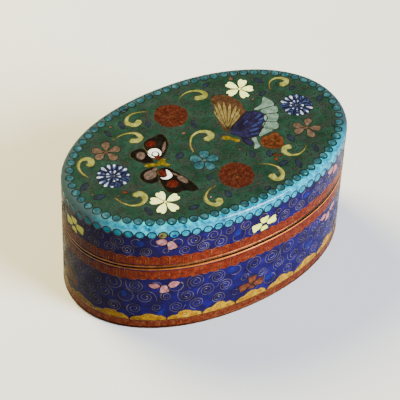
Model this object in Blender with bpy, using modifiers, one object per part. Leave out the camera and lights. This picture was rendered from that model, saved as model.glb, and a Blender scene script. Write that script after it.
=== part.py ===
"""Oval cloisonne pill box with a lift-off lid, as separate metal and enamel pieces.

The origin is on the ground under the middle of the box: +X runs along its length, +Z is up.
Every oval here is one superellipse moved inwards along its normals, so that the copper,
the enamel outside it and the lining inside it stay parallel all round.
"""
import math

import bmesh
import bpy
from mathutils import Vector

MM = 0.001

# Driving dimensions, in millimetres
LENGTH = 60.0
WIDTH = 38.2
HEIGHT = 27.8
OVAL_POWER = 2.1          # 2 would be an ellipse; a little more squares the ends
OVAL_POINTS = 56
GAP = 0.1                 # clearance between neighbouring pieces
ENAMEL = 0.8              # thickness of the outside enamel
METAL = 0.6               # thickness of the copper
LINING = 0.4              # thickness of the enamel inside
COLLAR = 0.5              # thickness of the inner collar
SEAM = 0.3                # opening between the two copper mouth rims

# Layers, as distances inwards from the outside of the box
METAL_IN = ENAMEL + GAP
LINING_IN = METAL_IN + METAL + GAP
RIM_WIDTH = METAL_IN + METAL

# Heights of the bands on the base, from the ground up
FOOT_RIM_TOP = 0.6
LOWER_RED_TOP = 1.85
CLOUD_TOP = 3.4
BASE_BLUE_TOP = 14.2
MOUTH_RIM_LOW = 16.3
MOUTH_RIM_TOP = 16.9

# Heights of the bands on the lid
LID_RIM_LOW = MOUTH_RIM_TOP + SEAM
LID_RIM_TOP = LID_RIM_LOW + 0.7
LID_RED_TOP = 19.7
LID_BLUE_TOP = 26.0
SHOULDER_LOW = LID_BLUE_TOP + GAP
SHOULDER_RADIUS = 1.2
SHOULDER_ARC_STEPS = 4
SHOULDER_TOP_WIDTH = 1.6
TOP_PLATE_LOW = HEIGHT - ENAMEL - GAP - METAL

# Inside of the base and of the lid
FLOOR_LOW = 1.0
FLOOR_LINING_LOW = FLOOR_LOW + METAL + GAP
FLOOR_LINING_THICKNESS = 0.3
UNDERSIDE_LOW = 0.5
COLLAR_LOW = 13.0
COLLAR_TOP = 20.6
LID_LINING_LOW = COLLAR_TOP + 0.3

# Inlaid motifs: an enamel piece in a pocket in the green top, both in the lid's own plane
POCKET_DEPTH = 0.5
INLAY_THICKNESS = POCKET_DEPTH - GAP
CURVE_STEPS = 3           # points on a smooth outline between two of its control points

# Flowers: name, centre, radius, petals, depth of the notches between petals, enamel
FLOWERS = [
    ("white_flower_left", (-15.3, -9.7), 2.9, 5, 0.2, "white"),
    ("white_flower_right", (14.3, 10.3), 2.85, 5, 0.2, "white"),
    ("rose_flower_left", (-17.8, 7.8), 2.6, 5, 0.2, "rose"),
    ("rose_flower_right", (19.2, -5.8), 2.6, 5, 0.2, "rose"),
    ("turquoise_flower", (-3.0, -4.0), 2.6, 5, 0.2, "turquoise"),
    ("blue_aster_left", (-20.0, 1.4), 3.3, 14, 0.08, "pale_blue"),
    ("blue_aster_right", (21.4, 0.5), 3.3, 14, 0.08, "pale_blue"),
    ("red_aster_back", (-1.8, 10.3), 3.4, 14, 0.08, "red"),
    ("red_aster_front", (0.3, -10.2), 3.5, 14, 0.08, "red"),
    ("orange_lotus", (11.3, -5.7), 2.0, 5, 0.15, "orange"),
]

# Scrolls: each is a comma shape along these points, from its thin tail to its round head
SCROLL_TAIL = 0.3
SCROLL_WIDTH = 1.3
SCROLLS = {
    "scroll_back_right": [(2.0, 13.3), (4.0, 14.7), (6.6, 14.1), (7.4, 12.2), (6.3, 11.2), (5.0, 12.0)],
    "scroll_back_left": [(-5.0, 13.7), (-8.0, 14.6), (-10.2, 12.9), (-9.1, 11.2), (-7.6, 12.0)],
    "scroll_left_of_wing": [(-15.0, 9.9), (-12.5, 10.3), (-10.2, 9.1), (-10.4, 7.9), (-12.2, 8.0)],
    "scroll_left_end": [(-24.3, 3.5), (-24.8, 6.2), (-23.3, 8.3), (-21.5, 7.7), (-22.2, 6.0)],
    "scroll_left_front": [(-22.6, -4.2), (-21.0, -7.2), (-18.8, -7.8), (-17.5, -6.1), (-19.3, -5.1)],
    "scroll_centre": [(-3.4, -0.6), (-2.2, 2.2), (0.2, 3.6), (2.1, 2.2), (1.4, 0.5), (0.2, 0.9)],
    "scroll_front_left": [(-5.2, -10.7), (-7.9, -11.8), (-8.3, -14.2), (-7.0, -15.1), (-6.2, -13.7)],
    "scroll_right_back": [(19.4, 6.8), (20.6, 8.9), (22.9, 9.1), (23.8, 7.4), (22.0, 7.0)],
    "scroll_right_front": [(16.5, -10.0), (14.2, -11.4), (11.7, -10.6), (11.9, -8.7), (13.6, -8.9)],
    "scroll_front_right": [(5.5, -10.0), (7.9, -11.4), (8.4, -13.8), (7.0, -15.1), (6.1, -13.4)],
}

# Butterflies: the outline of each wing and body, as points on a smooth closed curve
WINGS = {
    "dark_butterfly_back_forewing": ("black", [
        (-10.2, 1.2), (-7.2, 2.6), (-5.9, 5.0), (-6.7, 6.8), (-9.4, 6.5), (-10.6, 4.6)]),
    "dark_butterfly_back_hindwing": ("black", [
        (-11.5, 1.0), (-13.4, 1.9), (-14.5, 4.2), (-13.0, 5.3), (-11.4, 4.6)]),
    "dark_butterfly_front_hindwing": ("black", [
        (-12.5, -0.9), (-14.6, -1.1), (-15.8, -2.8), (-14.4, -4.3), (-12.8, -3.4)]),
    "dark_butterfly_front_forewing": ("black", [
        (-11.7, -2.2), (-13.1, -4.5), (-13.2, -7.2), (-10.8, -9.0), (-8.2, -9.8), (-8.0, -7.4),
        (-9.6, -3.3)]),
    "dark_butterfly_body": ("yellow", [
        (-13.4, 0.3), (-11.9, 0.4), (-10.0, 0.2), (-9.2, -1.4), (-10.9, -1.1), (-12.6, -0.2)]),
    "blue_butterfly_brown_wing": ("brown", [
        (5.4, 1.2), (5.3, 3.2), (7.2, 7.6), (8.6, 10.4), (10.8, 9.7), (11.8, 7.2), (11.0, 4.2), (7.8, 2.3)]),
    "blue_butterfly_blue_wing": ("violet", [
        (5.9, 0.2), (8.4, 1.7), (12.2, 3.1), (13.9, 1.6), (13.4, -0.9), (10.2, -3.0), (7.8, -2.5)]),
    "blue_butterfly_pale_wing": ("pale_green", [
        (13.4, 3.7), (15.6, 4.4), (17.2, 5.2), (17.4, 2.4), (16.3, -0.9), (13.8, -3.2), (11.9, -3.0),
        (13.9, -1.4), (14.7, 1.6)]),
    "blue_butterfly_body": ("yellow", [
        (3.5, -0.7), (4.4, 0.1), (5.3, -1.0), (5.9, -2.6), (5.2, -3.2), (4.3, -1.9)]),
}

# Colours as linear RGB, with roughness and metallic
MATERIALS = {
    "copper": ((0.42, 0.16, 0.06), 0.35, 1.0),
    "green": ((0.02, 0.07, 0.035), 0.25, 0.0),
    "blue": ((0.02, 0.015, 0.16), 0.25, 0.0),
    "red": ((0.27, 0.035, 0.01), 0.3, 0.0),
    "ochre": ((0.62, 0.33, 0.04), 0.3, 0.0),
    "turquoise": ((0.02, 0.3, 0.42), 0.2, 0.0),
    "white": ((0.75, 0.8, 0.65), 0.25, 0.0),
    "rose": ((0.38, 0.16, 0.1), 0.3, 0.0),
    "pale_blue": ((0.3, 0.45, 0.65), 0.25, 0.0),
    "orange": ((0.6, 0.12, 0.02), 0.3, 0.0),
    "cream": ((0.6, 0.55, 0.2), 0.3, 0.0),
    "black": ((0.02, 0.015, 0.01), 0.3, 0.0),
    "yellow": ((0.5, 0.35, 0.03), 0.3, 0.0),
    "brown": ((0.3, 0.08, 0.02), 0.3, 0.0),
    "violet": ((0.04, 0.02, 0.13), 0.25, 0.0),
    "pale_green": ((0.3, 0.48, 0.35), 0.25, 0.0),
    "lining": ((0.03, 0.2, 0.28), 0.3, 0.0),
}


def start_scene():
    """Empty the scene and make one collection for the parts and one for the cutters."""
    for old in list(bpy.data.objects):
        bpy.data.objects.remove(old, do_unlink=True)
    collections = {}
    for name in ("pill_box", "cutters"):
        collections[name] = bpy.data.collections.new(name)
        bpy.context.scene.collection.children.link(collections[name])
    return collections


def make_materials():
    made = {}
    for name, (colour, roughness, metallic) in MATERIALS.items():
        material = bpy.data.materials.new(name)
        material.use_nodes = True
        shader = material.node_tree.nodes["Principled BSDF"]
        shader.inputs["Base Color"].default_value = (*colour, 1.0)
        shader.inputs["Roughness"].default_value = roughness
        shader.inputs["Metallic"].default_value = metallic
        made[name] = material
    return made


COLLECTIONS = start_scene()
MADE = make_materials()


def oval(inset):
    """Points of the box's oval moved inwards by inset, counter-clockwise from its +X end."""
    half_length = LENGTH / 2
    half_width = WIDTH / 2
    points = []
    for step in range(OVAL_POINTS):
        angle = 2 * math.pi * step / OVAL_POINTS
        cosine = math.cos(angle)
        sine = math.sin(angle)
        x = half_length * math.copysign(abs(cosine) ** (2 / OVAL_POWER), cosine)
        y = half_width * math.copysign(abs(sine) ** (2 / OVAL_POWER), sine)
        slope_x = math.copysign((abs(x) / half_length) ** (OVAL_POWER - 1) / half_length, x)
        slope_y = math.copysign((abs(y) / half_width) ** (OVAL_POWER - 1) / half_width, y)
        normal = Vector((slope_x, slope_y)).normalized()
        points.append((x - inset * normal.x, y - inset * normal.y))
    return points


def smooth_closed(controls):
    """Points along a closed Catmull-Rom curve through the control points."""
    count = len(controls)
    points = []
    for index in range(count):
        before, start, end, after = (Vector(controls[(index + k) % count]) for k in (-1, 0, 1, 2))
        for step in range(CURVE_STEPS):
            points.append(tuple(catmull_rom(before, start, end, after, step / CURVE_STEPS)))
    return points


def smooth_open(controls):
    """Points along a Catmull-Rom curve from the first control point to the last."""
    ends = [controls[0], *controls, controls[-1]]
    points = []
    for index in range(len(controls) - 1):
        before, start, end, after = (Vector(ends[index + k]) for k in range(4))
        for step in range(CURVE_STEPS):
            points.append(catmull_rom(before, start, end, after, step / CURVE_STEPS))
    points.append(Vector(controls[-1]))
    return points


def catmull_rom(before, start, end, after, t):
    return 0.5 * (2 * start + (end - before) * t
                  + (2 * before - 5 * start + 4 * end - after) * t ** 2
                  + (3 * start - before - 3 * end + after) * t ** 3)


def moved_in(outline, distance):
    """A counter-clockwise outline moved inwards along its corner normals."""
    count = len(outline)
    points = []
    for index in range(count):
        here = Vector(outline[index])
        along_in = (here - Vector(outline[index - 1])).normalized()
        along_out = (Vector(outline[(index + 1) % count]) - here).normalized()
        inward = Vector((-along_in.y - along_out.y, along_in.x + along_out.x)).normalized()
        points.append(tuple(here + inward * distance))
    return points


def flower_outline(centre, radius, petals, notch):
    """A closed outline of equal round petals, four points to each petal of an aster, eight to a flower's."""
    points_per_petal = 8 if petals < 8 else 4
    count = petals * points_per_petal
    points = []
    for step in range(count):
        angle = 2 * math.pi * step / count
        reach = radius * (1 - notch / 2 + notch / 2 * math.cos(petals * angle))
        points.append((centre[0] + reach * math.cos(angle), centre[1] + reach * math.sin(angle)))
    return points


def scroll_outline(controls):
    """A comma: it widens along its curve and ends in a round head."""
    spine = smooth_open(controls)
    last = len(spine) - 1
    left = []
    right = []
    for index, point in enumerate(spine):
        along = spine[min(index + 1, last)] - spine[max(index - 1, 0)]
        across = Vector((-along.y, along.x)).normalized()
        width = SCROLL_TAIL + (SCROLL_WIDTH - SCROLL_TAIL) * math.sin(math.pi / 2 * index / last)
        left.append(tuple(point + across * width / 2))
        right.append(tuple(point - across * width / 2))
    heading = (spine[-1] - spine[-2]).normalized()
    side = Vector((-heading.y, heading.x))
    head = []
    for degrees in (-60, -30, 0, 30, 60):
        turn = math.radians(degrees)
        head.append(tuple(spine[-1] + (heading * math.cos(turn) + side * math.sin(turn)) * SCROLL_WIDTH / 2))
    outline = right + head + left[::-1]
    return outline if signed_area(outline) > 0 else outline[::-1]


def signed_area(outline):
    return sum(a[0] * b[1] - b[0] * a[1] for a, b in zip(outline, outline[1:] + outline[:1])) / 2


def flat_piece(name, outlines, low, high, material):
    """A flat piece between two heights; a second outline is a hole through it."""
    curve = bpy.data.curves.new(name, "CURVE")
    curve.dimensions = "2D"
    curve.fill_mode = "BOTH"
    curve.extrude = (high - low) / 2 * MM
    for outline in outlines:
        spline = curve.splines.new("POLY")
        spline.points.add(len(outline) - 1)
        for point, (x, y) in zip(spline.points, outline):
            point.co = (x * MM, y * MM, 0.0, 1.0)
        spline.use_cyclic_u = True
    curve.materials.append(MADE[material])
    piece = bpy.data.objects.new(name, curve)
    piece.location = (0.0, 0.0, (low + high) / 2 * MM)
    COLLECTIONS["pill_box"].objects.link(piece)
    return piece


def ring(name, outside, inside, low, high, material):
    """An upright oval band between two insets."""
    return flat_piece(name, [oval(outside), oval(inside)], low, high, material)


def plate(name, inset, low, high, material):
    """A flat oval sheet."""
    return flat_piece(name, [oval(inset)], low, high, material)


def as_mesh(piece, collection):
    """The same object as a closed mesh, which a Boolean can cut or use."""
    bpy.context.view_layer.update()
    evaluated = piece.evaluated_get(bpy.context.evaluated_depsgraph_get())
    mesh = bpy.data.meshes.new_from_object(evaluated)
    welder = bmesh.new()
    welder.from_mesh(mesh)
    bmesh.ops.remove_doubles(welder, verts=welder.verts, dist=0.001 * MM)
    bmesh.ops.recalc_face_normals(welder, faces=welder.faces)
    welder.to_mesh(mesh)
    welder.free()
    name = piece.name
    place = piece.matrix_world.copy()
    bpy.data.objects.remove(piece, do_unlink=True)
    solid = bpy.data.objects.new(name, mesh)
    solid.matrix_world = place
    COLLECTIONS[collection].objects.link(solid)
    return solid


def base_metal():
    """The copper of the base: two rims, the wall between them, the floor and the collar."""
    ring("base_foot_rim", 0.0, RIM_WIDTH, 0.0, FOOT_RIM_TOP, "copper")
    ring("base_wall", METAL_IN, RIM_WIDTH, FOOT_RIM_TOP + GAP, MOUTH_RIM_LOW - GAP, "copper")
    ring("base_mouth_rim", 0.0, RIM_WIDTH, MOUTH_RIM_LOW, MOUTH_RIM_TOP, "copper")
    plate("base_floor", LINING_IN, FLOOR_LOW, FLOOR_LOW + METAL, "copper")
    ring("inner_collar", LINING_IN, LINING_IN + COLLAR, COLLAR_LOW, COLLAR_TOP, "copper")


def base_enamel():
    """The coloured bands outside the base, its lining and the enamel under its floor."""
    bands = [
        ("base_lower_red_enamel", FOOT_RIM_TOP + GAP, LOWER_RED_TOP, "red"),
        ("base_ochre_cloud_enamel", LOWER_RED_TOP + GAP, CLOUD_TOP, "ochre"),
        ("base_blue_enamel", CLOUD_TOP + GAP, BASE_BLUE_TOP, "blue"),
        ("base_upper_red_enamel", BASE_BLUE_TOP + GAP, MOUTH_RIM_LOW - GAP, "red"),
    ]
    for name, low, high, material in bands:
        ring(name, 0.0, ENAMEL, low, high, material)
    lining_top = FLOOR_LINING_LOW + FLOOR_LINING_THICKNESS
    plate("base_floor_lining", LINING_IN, FLOOR_LINING_LOW, lining_top, "lining")
    ring("base_wall_lining", LINING_IN, LINING_IN + LINING, lining_top + GAP, COLLAR_LOW - GAP, "lining")
    plate("base_underside_enamel", LINING_IN, UNDERSIDE_LOW, FLOOR_LOW - GAP, "lining")


def lid_metal():
    """The copper of the lid: its mouth rim, wall and top plate."""
    ring("lid_mouth_rim", 0.0, RIM_WIDTH, LID_RIM_LOW, LID_RIM_TOP, "copper")
    ring("lid_wall", METAL_IN, RIM_WIDTH, LID_RIM_TOP + GAP, TOP_PLATE_LOW - GAP, "copper")
    plate("lid_top_plate", SHOULDER_RADIUS, TOP_PLATE_LOW, TOP_PLATE_LOW + METAL, "copper")


def lid_enamel():
    """The bands outside the lid, the rounded shoulder and the lining."""
    ring("lid_red_enamel", 0.0, ENAMEL, LID_RIM_TOP + GAP, LID_RED_TOP, "red")
    ring("lid_blue_enamel", 0.0, ENAMEL, LID_RED_TOP + GAP, LID_BLUE_TOP, "blue")
    shoulder()
    ceiling_low = TOP_PLATE_LOW - GAP - LINING
    plate("lid_ceiling_lining", LINING_IN, ceiling_low, TOP_PLATE_LOW - GAP, "lining")
    ring("lid_wall_lining", LINING_IN, LINING_IN + LINING, LID_LINING_LOW, ceiling_low - GAP, "lining")


def shoulder():
    """The turquoise corner of the lid: an open surface rolled over the edge, made solid inwards."""
    profile = [(0.0, SHOULDER_LOW)]
    for step in range(SHOULDER_ARC_STEPS + 1):
        turn = math.pi / 2 * step / SHOULDER_ARC_STEPS
        profile.append((SHOULDER_RADIUS * (1 - math.cos(turn)),
                        HEIGHT - SHOULDER_RADIUS * (1 - math.sin(turn))))
    profile.append((SHOULDER_TOP_WIDTH, HEIGHT))
    mesh = bpy.data.meshes.new("lid_shoulder_enamel")
    maker = bmesh.new()
    rings = []
    for inset, height in profile:
        rings.append([maker.verts.new((x * MM, y * MM, height * MM)) for x, y in oval(inset)])
    for lower, upper in zip(rings, rings[1:]):
        for index in range(OVAL_POINTS):
            after = (index + 1) % OVAL_POINTS
            maker.faces.new((lower[index], lower[after], upper[after], upper[index]))
    maker.to_mesh(mesh)
    maker.free()
    mesh.shade_smooth()
    mesh.materials.append(MADE["turquoise"])
    piece = bpy.data.objects.new("lid_shoulder_enamel", mesh)
    COLLECTIONS["pill_box"].objects.link(piece)
    solid = piece.modifiers.new("thickness", "SOLIDIFY")
    solid.thickness = ENAMEL * MM
    solid.offset = -1.0
    solid.use_even_offset = True


def motif_outlines():
    """Each inlaid motif's name, outline and enamel."""
    motifs = []
    for name, centre, radius, petals, notch, enamel in FLOWERS:
        motifs.append((name, flower_outline(centre, radius, petals, notch), enamel))
    for name, controls in SCROLLS.items():
        motifs.append((name, scroll_outline(controls), "cream"))
    for name, (enamel, controls) in WINGS.items():
        outline = smooth_closed(controls)
        if signed_area(outline) < 0:
            outline.reverse()
        motifs.append((name, outline, enamel))
    return motifs


def lid_top():
    """The green top with a pocket for each motif, and the motifs in their pockets."""
    top = plate("lid_top_enamel", SHOULDER_TOP_WIDTH + GAP, HEIGHT - ENAMEL, HEIGHT, "green")
    top = as_mesh(top, "pill_box")
    for name, outline, enamel in motif_outlines():
        low = HEIGHT - INLAY_THICKNESS
        flat_piece(name, [moved_in(outline, GAP)], low, HEIGHT, enamel)
        cutter = flat_piece("pocket_" + name, [outline], low - GAP, HEIGHT + GAP, "green")
        cutter = as_mesh(cutter, "cutters")
        cutter.hide_render = True
        cutter.display_type = "WIRE"
    pockets = top.modifiers.new("pockets", "BOOLEAN")
    pockets.operation = "DIFFERENCE"
    pockets.solver = "EXACT"
    pockets.operand_type = "COLLECTION"
    pockets.collection = COLLECTIONS["cutters"]


base_metal()
base_enamel()
lid_metal()
lid_enamel()
lid_top()
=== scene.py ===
"""Looks of the oval cloisonne pill box: enamel grounds, inlaid cells, cloison wires and copper rims.

Shapes are worked out in millimetres and turned into metres when a mesh is made. Art on the walls is
drawn flat, as (distance round the box from its +X end, height), and art on the top as (x, y). A place
function then lays it on the real surface, so that wires and cells follow it exactly.
"""

import math
import random

import bpy
import numpy as np
from mathutils import Matrix, Vector, noise
from mathutils.geometry import delaunay_2d_cdt


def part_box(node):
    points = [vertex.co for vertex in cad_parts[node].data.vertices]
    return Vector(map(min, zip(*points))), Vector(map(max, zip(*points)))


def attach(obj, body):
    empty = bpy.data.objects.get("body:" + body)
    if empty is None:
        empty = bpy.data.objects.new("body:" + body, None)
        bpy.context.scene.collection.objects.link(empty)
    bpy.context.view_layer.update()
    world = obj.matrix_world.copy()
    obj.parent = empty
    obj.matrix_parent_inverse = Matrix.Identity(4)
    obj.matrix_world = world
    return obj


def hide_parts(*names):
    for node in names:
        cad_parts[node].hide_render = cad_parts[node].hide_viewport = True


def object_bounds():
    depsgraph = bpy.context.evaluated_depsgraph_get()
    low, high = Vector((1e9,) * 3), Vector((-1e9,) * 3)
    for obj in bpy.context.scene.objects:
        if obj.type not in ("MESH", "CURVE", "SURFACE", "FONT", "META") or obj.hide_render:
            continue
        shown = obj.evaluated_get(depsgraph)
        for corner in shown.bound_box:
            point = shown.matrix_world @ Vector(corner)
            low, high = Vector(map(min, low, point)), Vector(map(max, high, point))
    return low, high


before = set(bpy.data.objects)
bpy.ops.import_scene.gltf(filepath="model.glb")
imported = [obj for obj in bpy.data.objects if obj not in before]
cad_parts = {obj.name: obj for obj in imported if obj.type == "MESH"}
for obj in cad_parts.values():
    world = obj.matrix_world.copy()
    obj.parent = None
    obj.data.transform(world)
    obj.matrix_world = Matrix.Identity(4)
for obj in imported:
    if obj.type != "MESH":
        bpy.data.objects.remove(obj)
cad_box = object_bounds()

MM = 0.001
random.seed(7)


# ---------------------------------------------------------------- sizes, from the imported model

def lowest(node):
    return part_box(node)[0].z / MM


def highest(node):
    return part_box(node)[1].z / MM


HALF_LENGTH = cad_box[1].x / MM
HALF_WIDTH = cad_box[1].y / MM
HEIGHT = cad_box[1].z / MM
OVAL_POWER = 2.1
SKIN_INSET = 0.05         # the enamel lies this far inside the copper rims
CORNER_RADIUS = 1.2
CORNER_START = HEIGHT - CORNER_RADIUS
CROWN = 0.2               # the top is this much higher in the middle than at its edge
SINK = 0.12               # how deep cells and wires reach below the surface they lie on
CELL_LIFT = 0.012
WIRE_LIFT = 0.035
PETAL_LIFT = CELL_LIFT * 1.6
BODY_LIFT = CELL_LIFT * 2
SPOT_LIFT = CELL_LIFT * 2.2
TIP_LIFT = CELL_LIFT * 2.6

FOOT_TOP = highest("base_foot_rim")
CLOUD_LOW = highest("base_lower_red_enamel") + 0.55
BASE_RIM_LOW = lowest("base_mouth_rim")
BASE_RIM_TOP = highest("base_mouth_rim")
LID_RIM_LOW = lowest("lid_mouth_rim")
LID_RIM_TOP = highest("lid_mouth_rim")
ENAMEL_DEPTH = 0.8
RIM_DEPTH = 1.5
COLLAR_DEPTH = 0.5
LINING_OUT = 1.6
LINING_IN = 2.0
LINING_RADIUS = 0.12
ROUND_STEPS = 420         # stations round every swept oval

BAND_GAP = 0.02           # left open beside each band of enamel
RED_UNDER_CLOUDS = 0.3    # the lower red band reaches this far up behind the clouds
BASE_SCALLOP_TIP = 13.7   # where the red scallops under the base's mouth end
LID_SCALLOP_TIP = 20.4
LOWER_DOTS_AT = 25.85
UPPER_DOTS_INSET = 1.7
GREEN_INSET = 1.8
GREEN_DEPTH = 0.7
SHOULDER_DEPTH = 0.6
SHOULDER_ROWS = 14


# ---------------------------------------------------------------- the oval and the two surfaces

def signed_power(value, power):
    return np.sign(value) * np.abs(value) ** power


TABLE_ANGLES = np.linspace(0, 2 * np.pi, 5761)
TABLE_X = HALF_LENGTH * signed_power(np.cos(TABLE_ANGLES), 2 / OVAL_POWER)
TABLE_Y = HALF_WIDTH * signed_power(np.sin(TABLE_ANGLES), 2 / OVAL_POWER)
TABLE_NX = signed_power(TABLE_X / HALF_LENGTH, OVAL_POWER - 1) / HALF_LENGTH
TABLE_NY = signed_power(TABLE_Y / HALF_WIDTH, OVAL_POWER - 1) / HALF_WIDTH
TABLE_NORM = np.hypot(TABLE_NX, TABLE_NY)
TABLE_NX, TABLE_NY = TABLE_NX / TABLE_NORM, TABLE_NY / TABLE_NORM


def distances_at(inset):
    """Distance along the oval moved in by inset, at every entry of the table."""
    x = TABLE_X - TABLE_NX * inset
    y = TABLE_Y - TABLE_NY * inset
    return np.concatenate(([0.0], np.cumsum(np.hypot(np.diff(x), np.diff(y)))))


OUTER_DISTANCES = distances_at(0.0)
GIRTH = OUTER_DISTANCES[-1]


def around(distance):
    """The outer oval's x, y and outward normal at distances round it."""
    wrapped = np.mod(distance, GIRTH)
    return [np.interp(wrapped, OUTER_DISTANCES, table) for table in (TABLE_X, TABLE_Y, TABLE_NX, TABLE_NY)]


def crown(x, y):
    along = np.abs(x) / (HALF_LENGTH - CORNER_RADIUS)
    across = np.abs(y) / (HALF_WIDTH - CORNER_RADIUS)
    return CROWN * np.maximum(1 - (along ** 2 + across ** 2), 0)


# Waviness of the enamel: height of the waves and the distance over which they change
SLOW_WAVES = (0.03, 7)
FINE_WAVES = (0.006, 1.1)


def unevenness(x, y, z):
    """Slow hand-made waviness of every enamelled surface, with a finer ripple from the grinding."""
    waves = np.empty(len(x))
    for index, point in enumerate(zip(x, y, z)):
        here = Vector(point)
        waves[index] = sum(height * noise.noise(here / size) for height, size in (SLOW_WAVES, FINE_WAVES))
    return waves


def on_side(points):
    """Rows of (distance round, height, outwards) on the walls; past the corner they run onto the top."""
    distance, height, out = np.asarray(points, float).T
    x, y, nx, ny = around(distance)
    turn = np.clip((height - CORNER_START) / CORNER_RADIUS, 0, np.pi / 2)
    flat = np.maximum(height - CORNER_START - CORNER_RADIUS * np.pi / 2, 0)
    inset = SKIN_INSET + CORNER_RADIUS * (1 - np.cos(turn)) + flat
    z = np.minimum(height, CORNER_START) + CORNER_RADIUS * np.sin(turn) - SKIN_INSET * np.sin(turn)
    z = z + crown(x - nx * inset, y - ny * inset) * (turn > 0)
    out = out + unevenness(x - nx * inset, y - ny * inset, z)
    inset = inset - out * np.cos(turn)
    return np.column_stack((x - nx * inset, y - ny * inset, z + out * np.sin(turn)))


def on_top(points):
    """Rows of (x, y, upwards) on the lid's gently crowned top."""
    x, y, out = np.asarray(points, float).T
    z = HEIGHT - SKIN_INSET + crown(x, y)
    return np.column_stack((x, y, z + out + unevenness(x, y, z)))


# ---------------------------------------------------------------- flat drawing

def smooth(points, step=0.15, closed=False):
    """Points about one step apart on a Catmull-Rom curve through the given ones."""
    points = np.asarray(points, float)
    count = len(points)
    ring = np.concatenate((points[-1:], points, points[:2])) if closed else np.concatenate(
        (2 * points[:1] - points[1:2], points, 2 * points[-1:] - points[-2:-1]))
    result = []
    for index in range(count if closed else count - 1):
        before, start, end, after = ring[index:index + 4]
        steps = max(2, math.ceil(np.hypot(*(end - start)) / step))
        for t in np.arange(steps) / steps:
            result.append(0.5 * (2 * start + (end - before) * t
                                 + (2 * before - 5 * start + 4 * end - after) * t ** 2
                                 + (3 * start - before - 3 * end + after) * t ** 3))
    if not closed:
        result.append(points[-1])
    return np.array(result)


def sideways(path, closed):
    """Unit vectors to the left of a path."""
    if closed:
        along = np.roll(path, -1, 0) - np.roll(path, 1, 0)
    else:
        along = np.gradient(path, axis=0)
    along /= np.maximum(np.hypot(*along.T), 1e-9)[:, None]
    return np.column_stack((-along[:, 1], along[:, 0]))


def signed_area(outline):
    x, y = outline.T
    return 0.5 * np.sum(x * np.roll(y, -1) - np.roll(x, -1) * y)


def grown(outline, distance):
    """An outline moved outwards, or inwards where distance is negative."""
    turn = np.sign(signed_area(outline))
    return outline - sideways(outline, True) * distance * turn


def inside(points, outline):
    """Which of the points lie inside an outline."""
    x, y = points.T[:, :, None]
    x0, y0 = outline.T
    x1, y1 = np.roll(outline, -1, 0).T
    rise = np.where(y1 == y0, 1.0, y1 - y0)
    crosses = ((y0 > y) != (y1 > y)) & (x < x0 + (x1 - x0) * (y - y0) / rise)
    return crosses.sum(1) % 2 == 1


def jitter(reach):
    """A random step of up to reach to either side, as handwork has."""
    return random.uniform(-reach, reach)


def polar(centre, reach, angles):
    """Points at a reach and at angles, in radians, from a centre."""
    return np.column_stack((centre[0] + reach * np.cos(angles), centre[1] + reach * np.sin(angles)))


def circle(centre, radius, step=0.15):
    count = max(10, round(2 * math.pi * radius / step))
    return polar(centre, radius, 2 * math.pi * np.arange(count) / count)


def turned(points, degrees):
    cosine = math.cos(math.radians(degrees))
    sine = math.sin(math.radians(degrees))
    return np.asarray(points, float) @ np.array(((cosine, sine), (-sine, cosine)))


def ellipse(centre, length, width, degrees=0.0, step=0.15):
    flat = circle((0, 0), 1.0, step / max(length, width) * 2) * (length / 2, width / 2)
    return turned(flat, degrees) + centre


def mirrored(half):
    """A closed outline from the half above its middle line, whose two ends lie on the line."""
    return (*half, *((x, -y) for x, y in half[-2:0:-1]))


def petal(shape, centre, degrees, length, width, step=0.2, offset=0.0):
    """A shape drawn for a length and a width of one, sized, moved out by offset, turned and set down."""
    sized = [(offset + x * length, y * width) for x, y in shape]
    return smooth(turned(sized, degrees) + centre, step, True)


def spiral(centre, radius, turns, start, hand, tail=0.0, inner=0.22):
    """A wire curl from outside to inside, with an optional tail that leaves it in a wide arc."""
    count = max(14, round(turns * radius * 2 * math.pi / 0.3))
    t = np.linspace(0, 1, count)
    angles = math.radians(start) + hand * 2 * math.pi * turns * t
    points = polar(centre, radius * (1 - (1 - inner) * t ** 0.85), angles)
    if tail:
        back = np.linspace(tail, 0.25, 4)
        reach = radius * (1 + 0.35 * (back / radius) ** 2)
        lead = polar(centre, reach, math.radians(start) - hand * back / radius)
        points = np.concatenate((lead, points))
    return smooth(points, 0.2)


# ---------------------------------------------------------------- meshes

SHARP_EDGE = 50           # degrees; edges that turn more than this are shaded sharp


class Shape:
    """Closed bodies gathered into one mesh, in millimetres."""

    def __init__(self):
        self.vertices = []
        self.faces = []
        self.count = 0

    def add(self, vertices, faces):
        self.vertices.append(np.asarray(vertices, float))
        self.faces.extend([[self.count + corner for corner in face] for face in faces])
        self.count += len(vertices)


def make_piece(name, shape, material, body, node=None):
    """One visible piece from a shape, riding on a CAD body, and standing for a CAD node if one is given."""
    mesh = bpy.data.meshes.new(name)
    vertices = np.concatenate(shape.vertices) * MM
    mesh.from_pydata(vertices.tolist(), [], shape.faces)
    mesh.materials.append(material)
    mesh.shade_smooth()
    mesh.set_sharp_from_angle(angle=math.radians(SHARP_EDGE))
    piece = bpy.data.objects.new(name, mesh)
    bpy.context.scene.collection.objects.link(piece)
    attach(piece, body)
    if node:
        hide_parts(node)


def skin(stations, section, closed=True, flip=True):
    """Faces that join stations of section corners each, with a cap at both ends unless it is closed.

    Flip winds them for a sweep or a plate; without it they suit a wire.
    """
    faces = []
    for station in range(stations if closed else stations - 1):
        here = station * section
        after = (station + 1) % stations * section
        for corner in range(section):
            following = (corner + 1) % section
            rest = (here + following, after + following, after + corner)
            faces.append((here + corner, *(reversed(rest) if flip else rest)))
    if not closed:
        first = tuple(range(section))
        last = tuple((stations - 1) * section + corner for corner in first)
        faces += [first, last[::-1]] if flip else [first[::-1], last]
    return faces


# Across the wire as a share of its width; upwards as a share of its lift, or in mm where it is sunk
WIRE_SECTION = ((-0.5, -SINK), (-0.5, 0.4), (-0.28, 1.0), (0.28, 1.0), (0.5, 0.4), (0.5, -SINK))


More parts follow.
